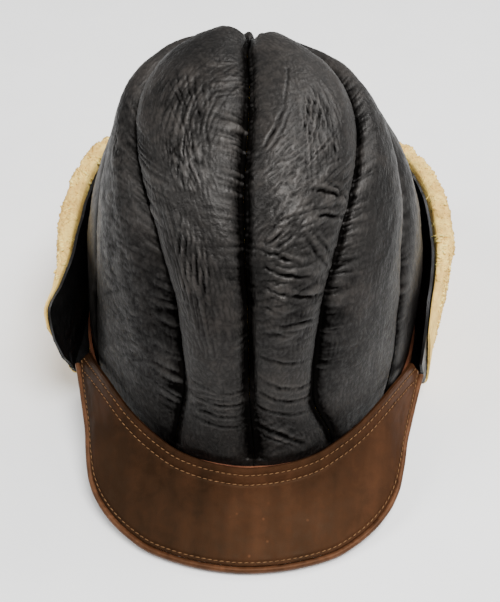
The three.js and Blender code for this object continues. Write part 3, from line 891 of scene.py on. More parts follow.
@dataclass(frozen=True)
class LeatherFinish:
    """A leather: colours from its darkest to its lightest tone, gloss, and grain in mm.

    variety scales how much its colour changes from place to place; rub_and_painted_light is how much the
    attribute of that name changes colour and gloss: rubbed ridges, with painted shade in creases, at seams
    and low down and painted light high up; streaks and scuffs are the strengths of marks; painted_side_shade
    is how much painted shade darkens its left side more than its right; tint colours its gloss.
    """

    name: str
    dark: tuple[float, float, float]
    middle: tuple[float, float, float]
    light: tuple[float, float, float]
    smoothest: float
    roughest: float
    grain_size: float
    grain_depth: float
    mottle_size: float
    specular: float = 0.5
    streaks: float = 0.0
    scuffs: float = 0.0
    painted_side_shade: float = 0.0
    rub_and_painted_light: float = 0.0
    tint: tuple[float, float, float] = (1, 1, 1)
    variety: float = 1.0

    mottle_share = 0.65
    fine_share = 0.35
    fine_times = 7
    stops = (0.12, 0.5, 0.9)
    rub_and_light_range = (0.08, 0.85)
    shine_range = (0.02, 1.9)
    streak_stretch = (1, 0.08, 0.1)
    streak_scale = 95.0
    side_range = (-0.085, 0.1)
    side_even = 0.75
    scuff_scale = 150.0
    scuff_range = (0.14, 0.04)
    scuff_where = (0.72, 0.9)
    scuff_light = 1.8

    def material(self, effects: Effects) -> bpy.types.Material:
        """Builds the leather's material."""
        material, nodes, shader = start_material(self.name)
        place = nodes.add("TexCoord").outputs["Object"]
        mottle = effects.use(nodes, effects.mottle, place, self.mottle_size)
        fine = effects.use(nodes, effects.mottle, place, self.mottle_size / self.fine_times)
        coarse_part = nodes.maths("MULTIPLY", mottle, self.mottle_share)
        fine_part = nodes.maths("MULTIPLY", fine, self.fine_share)
        tone = nodes.maths("ADD", nodes.swing(nodes.maths("ADD", coarse_part, fine_part), self.variety), 0.5)
        if self.rub_and_painted_light:
            # the tone mask: rubbed ridges lighter, painted shade in creases, at seams and low down, painted
            # light high up; the gloss follows it too
            rub_and_light_mask = nodes.add("Attribute", attribute_name="rub_and_painted_light").outputs["Fac"]
            tone = nodes.maths("ADD", tone, nodes.swing(rub_and_light_mask, self.rub_and_painted_light))
            dullest, shiniest = (self.specular * part for part in self.shine_range)
            shine = nodes.span(rub_and_light_mask, *self.rub_and_light_range, dullest, shiniest)
            nodes.fill(shader, {"Specular IOR Level": shine})
        if self.streaks:
            drawn = nodes.add("Mapping", {"Vector": place, "Scale": self.streak_stretch})
            inputs = {"Vector": drawn.outputs[0], "Scale": self.streak_scale, "Detail": 3.0}
            streak = nodes.add("TexNoise", inputs)
            tone = nodes.maths("ADD", tone, nodes.swing(streak.outputs[0], self.streaks))
        # painted shade: the left side darker than the right, as the light falls from the right
        if self.painted_side_shade:
            split = nodes.add("SeparateXYZ", {0: place})
            slope = nodes.span(split.outputs[0], *self.side_range)
            drop = nodes.maths("MULTIPLY", nodes.maths("SUBTRACT", slope, self.side_even), self.painted_side_shade)
            tone = nodes.maths("ADD", tone, drop)
        colour = nodes.ramp(tone, list(zip(self.stops, (self.dark, self.middle, self.light))))
        if self.scuffs:
            inputs = {"Vector": place, "Scale": self.scuff_scale, "Randomness": 1.0}
            dot = nodes.span(nodes.add("TexVoronoi", inputs).outputs["Distance"], *self.scuff_range)
            mask = nodes.maths("MULTIPLY", dot, nodes.span(mottle, *self.scuff_where))
            mask = nodes.maths("MULTIPLY", mask, self.scuffs)
            colour = nodes.mix(mask, colour, tuple(min(1, self.scuff_light * c) for c in self.light))
        grain = effects.use(nodes, effects.grain, place, self.grain_size)
        inputs = {
            "Base Color": colour,
            "Roughness": nodes.span(fine, 0.0, 1.0, self.smoothest, self.roughest),
            "Normal": nodes.bump(grain, self.grain_depth, 1.0),
            "Specular IOR Level": self.specular,
            "Specular Tint": (*self.tint, 1),
        }
        nodes.fill(shader, inputs)
        return material


class Leather(Enum):
    """The cap's leathers."""

    CROWN = LeatherFinish(
        "crown_leather_black_brown", (0.0012, 0.001, 0.0009), (0.0058, 0.005, 0.0045),
        (0.015, 0.0125, 0.0108), 0.42, 0.58, 0.8, 0.12, 26, specular=0.23, rub_and_painted_light=1.0, tint=(1, 0.96, 0.92),
    )
    # the peak's left side is darker with painted shade
    PEAK = LeatherFinish(
        "peak_leather_brown", (0.0115, 0.0047, 0.0018), (0.0275, 0.0104, 0.0041), (0.058, 0.0225, 0.0094),
        0.45, 0.62, 0.55, 0.03, 34, specular=0.14, streaks=0.7, scuffs=0.6, painted_side_shade=0.55,
        tint=(1, 0.66, 0.42), variety=0.45,
    )
    EDGE = LeatherFinish(
        "edge_leather_brown", (0.026, 0.0098, 0.004), (0.053, 0.021, 0.009), (0.094, 0.039, 0.018),
        0.42, 0.58, 0.5, 0.03, 12, specular=0.24, tint=(1, 0.6, 0.38),
    )
    BAND = LeatherFinish(
        "band_leather_orange_brown", (0.05, 0.015, 0.006), (0.09, 0.028, 0.011), (0.14, 0.05, 0.02),
        0.42, 0.58, 0.5, 0.03, 14, specular=0.35,
    )
    FLAP = LeatherFinish(
        "flap_leather_black", (0.0016, 0.0016, 0.0016), (0.0032, 0.003, 0.003), (0.0065, 0.006, 0.0058),
        0.36, 0.48, 0.8, 0.08, 20, specular=0.34,
    )


@dataclass(frozen=True)
class WoolFinish:
    """Sheep's wool: colours at the skin, half way and at the tips, by each fibre's tip attribute; the deeper
    gold towards the skin is partly the wool's own colour and partly painted shade deep among the locks.
    """

    name: str = "wool_cream_gold"
    # the colour at the skin: partly the wool's own, partly painted shade deep in the wool
    root: tuple[float, float, float] = (0.66, 0.42, 0.12)
    middle: tuple[float, float, float] = (0.94, 0.69, 0.2)
    tip: tuple[float, float, float] = (1.0, 0.85, 0.3)

    patch_size = 9
    patch_swing = 0.42
    small_size = 2.2
    small_swing = 0.2
    stops = (0.0, 0.45, 0.95)

    def material(self, effects: Effects) -> bpy.types.Material:
        """Builds the wool's material."""
        material, nodes, shader = start_material(self.name)
        place = nodes.add("TexCoord").outputs["Object"]
        part = nodes.add("Attribute", attribute_name="tip").outputs["Fac"]
        patches = effects.use(nodes, effects.mottle, place, self.patch_size)
        small = effects.use(nodes, effects.mottle, place, self.small_size)
        lift = nodes.maths(
            "ADD", nodes.swing(patches, self.patch_swing), nodes.swing(small, self.small_swing)
        )
        stops = list(zip(self.stops, (self.root, self.middle, self.tip)))
        height = nodes.add("TexNoise", {"Vector": place, "Scale": 900.0, "Detail": 3.0})
        inputs = {
            "Base Color": nodes.ramp(nodes.maths("ADD", part, lift), stops),
            "Normal": nodes.bump(height.outputs[0], 0.5, 0.7),
            "Roughness": 0.9,
            "Specular IOR Level": 0.08,
        }
        nodes.fill(shader, inputs)
        return material


@dataclass(frozen=True)
class PlainFinish:
    """A matt even material with fine fibres, for thread and cut edges."""

    name: str
    dark: tuple[float, float, float]
    light: tuple[float, float, float]
    size: float
    specular: float = 0.15

    rough = 0.8

    def material(self, effects: Effects) -> bpy.types.Material:
        """Builds the material."""
        material, nodes, shader = start_material(self.name)
        place = nodes.add("TexCoord").outputs["Object"]
        tone = effects.use(nodes, effects.mottle, place, self.size)
        fibre = effects.use(nodes, effects.grain, place, self.size / 4)
        inputs = {
            "Base Color": nodes.mix(tone, self.dark, self.light),
            "Normal": nodes.bump(fibre, 0.1, 0.6),
            "Roughness": self.rough,
            "Specular IOR Level": self.specular,
        }
        nodes.fill(shader, inputs)
        return material


class Plain(Enum):
    """Thread, the pale cut edge of the sheepskin, and the studio's floor."""

    THREAD = PlainFinish("thread_tan", (0.08, 0.038, 0.015), (0.17, 0.09, 0.038), 1.4)
    CUT_EDGE = PlainFinish("cut_edge_cream", (0.55, 0.42, 0.24), (0.82, 0.72, 0.52), 2.5)
    LEATHER_CUT = PlainFinish("cut_edge_brown", (0.012, 0.004, 0.0015), (0.03, 0.01, 0.004), 2, specular=0.04)
    FLOOR = PlainFinish("floor_pale", (0.88, 0.88, 0.875), (0.91, 0.91, 0.905), 60)


@dataclass(frozen=True)
class StitchRow:
    """A row of stitches: the length of one, from one to the next, and its thickness, in mm."""

    length: float = 2.3
    pitch: float = 3.0
    thick: float = 0.55
    proud: float = 0.12
    lean: float = 6.0

    @staticmethod
    def model() -> bpy.types.Object:
        """One stitch along X, 1 long, 1 wide and 1 high, with its ends turned down."""
        bpy.ops.object.select_all(action="DESELECT")
        bpy.ops.mesh.primitive_uv_sphere_add(segments=6, ring_count=6, radius=0.5)
        obj = bpy.context.active_object
        with editing(obj):
            bpy.ops.transform.rotate(value=np.pi / 2, orient_axis="Y", center_override=(0, 0, 0))
        for vertex in obj.data.vertices:
            vertex.co.z -= 0.9 * vertex.co.x**2
        return obj

    def frames(self, line: Array, up: Array) -> Array:
        """Places stitches along a line.

        Args:
            line: points along the row, close together.
            up: outward direction at each.

        Returns:
            A 3 by 4 matrix for each stitch.
        """
        steps = np.linalg.norm(np.diff(line, axis=0), axis=1)
        reach = np.concatenate([[0], np.cumsum(steps)])
        count = int((reach[-1] - self.length) // self.pitch)
        middles = (reach[-1] - count * self.pitch) / 2 + self.pitch * np.arange(count + 1)

        def read(values: Array, places: Array) -> Array:
            """The values at places along the row."""
            return np.stack([np.interp(places, reach, values[:, k]) for k in range(3)], axis=-1)

        middle = read(line, middles) + unit(read(up, middles)) * self.proud
        tangent = unit(read(line, middles + 0.5) - read(line, middles - 0.5))
        normal = unit(read(up, middles))
        across = np.cross(normal, tangent)
        lean = np.radians(self.lean)
        tangent = tangent * np.cos(lean) + across * np.sin(lean)
        across = np.cross(normal, tangent)
        columns = [tangent * self.length, across * self.thick, normal * self.thick, middle]
        return np.stack(columns, axis=-1)


PEAK_EDGE = {
    "angle": [0, 20, 28, 35.5, 40.5, 45, 50, 56, 62, 67],
    "inner": [12.3, 15, 19, 23, 26, 28.5, 29.5, 28.5, 25, 21.5],
    "reach": [36.8, 36.8, 35.1, 31.9, 27.8, 21.6, 14.6, 9.8, 6.5, 4.5],
    "outer": [-16.5, -15.3, -13, -9.2, -5.1, 0.4, 6.7, 13, 17.5, 20],
}


@dataclass
class Peak:
    """The stitched peak: two leathers, three rows of stitches and a rolled edge."""

    turn: float = 3.5
    half_angle: float = 65.5
    stand: float = 4.6
    thick: float = 1.8
    sag: float = 2.6
    under_from: float = 0.24
    forward: float = 0.35
    gap: float = 0.3
    roll_stand: float = 0.1
    roll_half_wide: float = 1.75
    roll_half_tall: float = 2.5
    inner_rows: tuple[float, float] = (3.3, 8.0)
    outer_row: float = 1.6
    groove: float = 0.28
    columns: int = 320
    rows: int = 76
    under_columns: int = 120
    under_rows: int = 24
    roll_sides: int = 18
    line_points: int = 600
    groove_half_wide: float = 0.75
    inner_round: tuple[float, float] = (0.5, 0.7)
    outer_round: tuple[float, float] = (0.4, 0.6)
    taper_from: float = 0.992
    taper_over: float = 0.008
    row_margin: float = 0.4
    stitch: StitchRow = StitchRow()

    def point(self, angle: Array, across: Array) -> Array:
        """Points of the peak's upper face: angle from its middle, 0 to 1 from its inner to its outer edge."""
        height, reach, level = (
            along(PEAK_EDGE["angle"], PEAK_EDGE[key], np.abs(angle)) for key in ("inner", "reach", "outer")
        )
        round_way = angle + self.turn
        inner = CROWN.beside_rim(round_way, self.stand, height)
        away = unit(CROWN.rim_outward(round_way) * (1 - self.forward) + np.array([0, -self.forward, 0]))
        outer = inner + away * reach[..., None]
        outer = stack(outer[..., 0], outer[..., 1], level)
        drop = inner[..., 2] - level
        bend = self.sag * reach / PEAK_EDGE["reach"][0] * np.sin(np.pi * np.maximum(across, 0) ** 0.7)
        slope = np.hypot(reach, drop)
        face = inner + (outer - inner) * np.asarray(across)[..., None]
        face = face - away * (bend * drop / slope)[..., None]
        return face - stack(0, 0, bend * reach / slope)

    def up(self, angle: Array, across: Array) -> Array:
        """The direction out of the peak's upper face."""
        a = np.clip(across, 0.02, 0.98)
        round_way = self.point(angle + 0.5, a) - self.point(angle - 0.5, a)
        out_way = self.point(angle, a + 0.01) - self.point(angle, a - 0.01)
        return unit(np.cross(out_way, round_way))

    def angles(self, count: int) -> Array:
        """Angles along the peak, closer together towards its tips."""
        side = np.linspace(-1, 1, count)
        return self.half_angle * np.sign(side) * np.abs(side) ** 0.9

    def width(self, angle: Array) -> Array:
        """Length in mm from the inner to the outer edge."""
        return np.linalg.norm(self.point(angle, np.ones_like(angle)) - self.point(angle, 0 * angle), axis=-1)

    def row_lines(self) -> list[tuple[Array, Array]]:
        """Where the rows of stitches run.

        Returns:
            For each row its angles and its places from the inner to the outer edge.
        """
        angle = self.angles(self.line_points)
        width = self.width(angle)
        lines = []
        for away in self.inner_rows:
            kept = width > away + self.outer_row + self.row_margin
            lines.append((angle[kept], away / width[kept]))
        kept = width > 2 * self.outer_row
        lines.append((angle[kept], 1 - self.outer_row / width[kept]))
        return lines

    def upper(self) -> bpy.types.Object:
        """Models the upper leather, with shallow grooves under its stitches."""
        angle, across = np.meshgrid(self.angles(self.columns), np.linspace(0, 1, self.rows), indexing="xy")
        face = self.point(angle, across)
        up = self.up(angle, across)
        width = np.broadcast_to(self.width(angle[0]), angle.shape)
        away = across * width
        height = 0.35 * noise(angle / 9, across * 3.1, 5) + 0.1 * noise(angle / 2.2, across * 9, 6)
        for row in (*self.inner_rows, None):
            place = width - self.outer_row if row is None else row
            height = height - self.groove * np.exp(-(((away - place) / self.groove_half_wide) ** 2))
        for (depth, reach), place in ((self.inner_round, away), (self.outer_round, width - away)):
            height = height - depth * np.exp(-((place / reach) ** 2))
        obj = grid_piece("peak_upper_leather", (face + up * height[..., None])[::-1])
        thicken(obj, self.thick, 0.08, rim_slot=1)
        smooth_shade(obj, 40)
        return obj

    def under(self) -> bpy.types.Object:
        """Models the under leather."""
        parts = self.under_from + (1 - self.under_from) * np.linspace(0, 1, self.under_rows)
        angle, across = np.meshgrid(self.angles(self.under_columns), parts, indexing="xy")
        up = self.up(angle, across)
        face = self.point(angle, across) - up * (self.thick + self.gap)
        wave = 0.3 * noise(angle / 8, across * 3, 15)
        obj = grid_piece("peak_under_leather", (face - up * np.maximum(wave, 0)[..., None])[::-1])
        thicken(obj, self.thick)
        smooth_shade(obj, 40)
        return obj

    def rolled_edge(self) -> bpy.types.Object:
        """Models the rolled edge: an oval roll swept along the outer edge, with rounded ends."""
        angle = self.angles(self.columns)
        one = np.ones_like(angle)
        up = self.up(angle, one)
        edge = unit(self.point(angle + 0.5, one) - self.point(angle - 0.5, one))
        out = unit(np.cross(edge, up))
        middle = self.point(angle, one) - up * (self.thick + self.gap / 2)
        middle = middle + out * (self.roll_stand + self.roll_half_wide)
        turn = 2 * np.pi * np.arange(self.roll_sides) / self.roll_sides
        end = np.abs(np.linspace(-1, 1, self.columns))
        taper = smooth((end - self.taper_from) / self.taper_over)
        taper = np.sqrt(np.clip(1 - taper**2, 0.02, 1))
        size = (1 + 0.05 * noise(angle / 3.1, 0 * angle, 21)) * taper
        wide = self.roll_half_wide * size[:, None] * np.cos(turn)
        tall = self.roll_half_tall * size[:, None] * np.sin(turn)
        tall = tall * (1 + 0.06 * noise(angle / 2.0, 0 * angle, 22)[:, None])
        ring = middle[:, None] + out[:, None] * wide[..., None] + up[:, None] * tall[..., None]
        obj = grid_piece("peak_rolled_edge", ring[:, ::-1], closed=True)
        close_ends(obj)
        smooth_shade(obj, 60)
        return obj

    def stitches(self) -> bpy.types.Object:
        """Models all the peak's stitches in one piece."""
        frames = []
        for angle, across in self.row_lines():
            line = self.point(angle, across)
            up = self.up(angle, across)
            frames.append(self.stitch.frames(line, up))
        return copies("peak_stitches", self.stitch.model(), np.concatenate(frames))

    def build(self, effects: Effects) -> None:
        """Models and dresses the peak."""
        brown = Leather.PEAK.value.material(effects)
        cut = Plain.LEATHER_CUT.value.material(effects)
        dress(self.upper(), "brown_leather", ["peak_top"], brown, cut)
        dress(self.under(), "brown_leather", ["peak_under"], brown)
        dress(self.rolled_edge(), "edge_leather", ["peak_binding"], Leather.EDGE.value.material(effects))
        dress(self.stitches(), "brown_leather", [], Plain.THREAD.value.material(effects))


def close_ends(obj: bpy.types.Object) -> None:
    """Fills the open ends of a swept piece."""
    with editing(obj):
        bpy.ops.mesh.fill_holes(sides=0)
        bpy.ops.mesh.normals_make_consistent(inside=False)


@dataclass
class Headband:
    """The narrow leather band round the crown's lower edge, stitched along its foot."""

    low: float = 0.6
    high: float = 16
    high_at_front: float = 9
    front_end: float = 20
    back_start: float = 55
    out: float = 0.3
    thick: float = 1.6
    columns: int = 420
    rows: int = 9
    line_points: int = 1200
    stitch: StitchRow = StitchRow(length=2.2, pitch=3.1, thick=0.5)
    stitch_up: float = 2.4

    def top(self, angle: Array) -> Array:
        """Height of the band's upper edge."""
        from_front = np.abs((angle + 180) % 360 - 180)
        part = smooth((from_front - self.front_end) / (self.back_start - self.front_end))
        return self.high_at_front + (self.high - self.high_at_front) * part

    def build(self, effects: Effects) -> None:
        """Models and dresses the band and its stitches."""
        angle = np.linspace(0, 360, self.columns, endpoint=False)
        angle, part = np.meshgrid(angle, np.linspace(0, 1, self.rows), indexing="xy")
        height = self.low + (self.top(angle) - self.low) * part
        bulge = self.thick * 0.9 + 0.25 * noise(angle / 5, part * 2, 31)
        face = CROWN.beside_rim(angle, self.out + bulge, height)
        band = grid_piece("headband_leather", face, closed=True)
        thicken(band, self.thick)
        smooth_shade(band, 40)
        dress(band, "brown_leather", ["headband"], Leather.BAND.value.material(effects))
        round_way = np.linspace(0, 360, self.line_points)
        height = np.full(self.line_points, self.low + self.stitch_up)
        line = CROWN.beside_rim(round_way, self.out + self.thick, height)
        frames = self.stitch.frames(line, CROWN.rim_outward(round_way))
        threads = copies("headband_stitches", self.stitch.model(), frames)
        dress(threads, "brown_leather", [], Plain.THREAD.value.material(effects))


FLAP_EDGE = {
    "angle": [69.5, 70.5, 72.5, 76.5, 84, 95, 108, 122, 140, 160, 180],
    "height": [24, 39, 50, 59, 65, 70, 76, 79, 71, 57, 51],
    "left": [17, 20.5, 20.5, 12.5, 5, 3.5, 5, 8, 8, 7, 7],
    "right": [8, 7, 5.5, 3.8, 3.3, 3.8, 5, 6, 7, 7, 7],
    "foot": [10.5, 10.5, 10, 8, 5, 3.5, 3.3, 3.3, 3.3, 3.3, 3.3],
    "wool": [1.2, 1.3, 1.7, 3.6, 8.4, 13.8, 14.5, 14.5, 14, 13.5, 13.5],
    "roll": [0.35, 0.4, 0.5, 0.65, 0.85, 1, 1, 1, 1, 1, 1],
}


@dataclass(frozen=True)
class FlapForm:
    """The turned-up flap: one strip from temple to temple round the back of the crown."""

    turn: float = 3.5
    thick: float = 1.8
    curl: float = 1.4
    lead: float = 4.5
    lead_end: float = 90
    first: float = 69.5
    gap: float = 0.3
    roll_depth: float = 11.5
    roll_inside: float = 9.2

    def value(self, key: str, angle: Array) -> Array:
        """A size of the flap at an angle of 0 to 360; stand is how far its free edge stands out."""
        if key == "stand":
            return np.where(angle > 180, self.value("left", angle), self.value("right", angle))
        return along(FLAP_EDGE["angle"], FLAP_EDGE[key], np.minimum(angle, 360 - angle))

    def point(self, angle: Array, out: Array, height: Array) -> Array:
        """A point beside the rim's wall, with the flap's front edges leaning forward as they rise."""
        side = np.where(angle > 180, -1, 1)
        from_front = np.minimum(angle, 360 - angle)
        part = np.clip(height / self.value("height", angle), 0, 1)
        fade = smooth((self.lead_end - from_front) / (self.lead_end - self.first))
        return CROWN.beside_rim(angle + self.turn - side * self.lead * part * fade, out, height)

    def out(self, angle: Array, part: Array) -> Array:
        """How far the leather stands out at a part of its height."""
        curled = np.maximum(0, part) ** self.curl
        foot = self.value("foot", angle)
        return foot + (self.value("stand", angle) - foot) * curled

    def wool_depth(self, angle: Array, part: float, share: float) -> Array:
        """How far the wool's face stands out at a part of the height, for a share of its depth."""
        belly = 1 - 0.35 * max(1 - 2 * part, 0) ** 3 - 0.08 * max(2 * part - 1, 0) ** 3
        return self.out(angle, part) + self.thick + 2 * self.gap + self.value("wool", angle) * belly * share

    def section(self, angle: Array, share: float) -> Array:
        """The wool's section at each angle.

        Args:
            angle: angles along the flap.
            share: the part of the wool's depth that the body fills.

        Returns:
            Points [section point][angle] up the leather, over its edge, down the outside and round the roll.
        """
        height, wool = self.value("height", angle), self.value("wool", angle)
        down = self.roll_depth * self.value("roll", angle)
        foot = self.value("foot", angle)
        inside = [(self.out(angle, p) + self.thick + 2 * self.gap, height * p) for p in (0.2, 0.45, 0.72, 1)]
        outside = [(self.wool_depth(angle, p, share), height * p) for p in (0.97, 0.72, 0.45, 0.2)]
        zero = 0 * angle
        places = [
            (zero - self.roll_inside, zero - self.gap),
            (foot + self.thick + self.gap, zero - self.gap),
            *inside,
            (inside[-1][0] + 0.12 * share * wool, height + 0.24 * wool),
            (inside[-1][0] + 0.65 * share * wool, height + 0.26 * wool),
            *outside,
            (self.wool_depth(angle, 0.05, share), zero),
            (foot + 0.6 * share * wool, -0.72 * down),
            (zero + 0.05 * self.roll_inside, -down),
            (zero - 0.55 * self.roll_inside, -0.86 * down),
            (zero - self.roll_inside, -0.45 * down),
        ]
        return np.stack([self.point(angle, out, high) for out, high in places])


FLAP = FlapForm()


def cut_corners(points: Array, times: int) -> Array:
    """Rounds a closed line [point][...] by cutting its corners a number of times."""
    for _ in range(times):
        after = np.roll(points, -1, axis=0)
        pair = np.stack([0.75 * points + 0.25 * after, 0.25 * points + 0.75 * after], axis=1)
        points = pair.reshape(-1, *points.shape[1:])
    return points


@dataclass(frozen=True)
class Fibres:
    """Small locks of wool set over a face: how many, and their sizes in mm."""

    count: int
    length: float
    width: float
    lean: float
    clump: float
    draw: float
    seed: int
    stray: float = 0.28

    length_range = (0.7, 1.2)
    width_range = (0.7, 1.35)
    sunk = 0.3

    @staticmethod
    def model() -> bpy.types.Object:
        """One lock along Z, 1 long and 1 wide, curling and narrowing to its tip."""
        bpy.ops.object.select_all(action="DESELECT")
        bpy.ops.mesh.primitive_circle_add(vertices=3, radius=0.5, fill_type="NGON")
        obj = bpy.context.active_object
        bpy.context.tool_settings.mesh_select_mode = (False, False, True)
        with editing(obj):
            for slide, narrow in ((0.2, 0.9), (-0.24, 0.35)):
                move = {"value": (slide, 0.4 * slide, 1 / 2)}
                bpy.ops.mesh.extrude_region_move(TRANSFORM_OT_translate=move)
                bpy.ops.transform.resize(value=(narrow, narrow, 1))
            bpy.ops.mesh.select_all(action="SELECT")
            bpy.ops.mesh.normals_make_consistent(inside=False)
            bpy.ops.mesh.quads_convert_to_tris()
        return obj

    def grow(self, name: str, face: Array, normals: Array, depth: Array | float = 1.0) -> bpy.types.Object:
        """Sets the locks over a face.

        Args:
            name: name of the piece.
            face: grid [row][column] of points; the locks lean to its first row.
            normals: outward direction at each.
            depth: share of its full length that a lock has at each.

        Returns:
            The piece, with a tip attribute from 0 at the root to 1 at the tip.
        """
        rng = np.random.default_rng(self.seed)
        rows, columns = face.shape[:2]
        depth = np.broadcast_to(depth, (rows, columns))[..., None]
        cell = np.linalg.norm(
            np.cross(face[1:, :-1] - face[:-1, :-1], face[:-1, 1:] - face[:-1, :-1]), axis=-1
        )
        cell = cell * np.clip(depth[1:, 1:, 0] * 4 - 0.6, 0, 1)
        chosen = rng.choice(cell.size, self.count, p=cell.ravel() / cell.sum())
        r, c = np.divmod(chosen, columns - 1)
        u, v = rng.random((2, self.count, 1))

        def read(values: Array) -> Array:
            """The values at the roots."""
            low = values[r, c] * (1 - v) + values[r, c + 1] * v
            return low * (1 - u) + (values[r + 1, c] * (1 - v) + values[r + 1, c + 1] * v) * u

        root, normal = read(face), unit(read(normals))
        up = unit(face[r, c] - face[r + 1, c])
        up = unit(up - normal * (up * normal).sum(axis=-1, keepdims=True))
        side = np.cross(normal, up)
        stray = rng.normal(0, self.stray, (2, self.count, 1))
        length = self.length * rng.uniform(*self.length_range, (self.count, 1)) * read(depth)
        tip = root + length * unit(normal + up * (self.lean + stray[0]) + side * stray[1])
        tip = self.gather(tip, rng)
        axis = tip - root
        z = unit(axis)
        turn = rng.random((self.count, 1)) * 2 * np.pi
        x = unit(np.cross(z, side * np.cos(turn) + up * np.sin(turn) + 1e-4))
        y = np.cross(z, x)
        width = self.width * rng.uniform(*self.width_range, (self.count, 1))
        frames = np.stack([x * width, y * width, axis, root - self.sunk * z], axis=-1)
        model = self.model()
        heights = np.array([vertex.co.z for vertex in model.data.vertices])
        obj = copies(name, model, frames)
        keep_values(obj, "tip", np.tile(heights, self.count))
        return obj

    def gather(self, tips: Array, rng: np.random.Generator) -> Array:
        """Draws the tips together into locks."""
        size = self.clump
        best = np.full(len(tips), np.inf)
        nearest = tips.copy()
        base = np.floor(tips / size)
        phase = rng.integers(1, 2**31 - 1, 3)[0] % 97
        for shift in np.ndindex(3, 3, 3):
            cell = base + np.array(shift) - 1
            mixed = np.sin(cell @ np.array([12.9898, 78.233, 37.719]) + phase) * 43758.5453
            jitter = np.stack([np.mod(mixed * k, 1) for k in (1.0, 1.7, 2.3)], axis=-1)
            centre = (cell + jitter) * size
            gap = np.linalg.norm(centre - tips, axis=-1)
            better = gap < best
            best = np.where(better, gap, best)
            nearest = np.where(better[:, None], centre, nearest)
        return tips + (nearest - tips) * self.draw


def press_flat(obj: bpy.types.Object, least: float = 0.0002) -> None:
    """Presses what would reach under the floor flat on it."""
    points = read_mesh(obj.data.vertices, "co", 3, np.float32)
    points[:, 2] = np.maximum(points[:, 2], least)
    obj.data.vertices.foreach_set("co", points.ravel())
    obj.data.update()


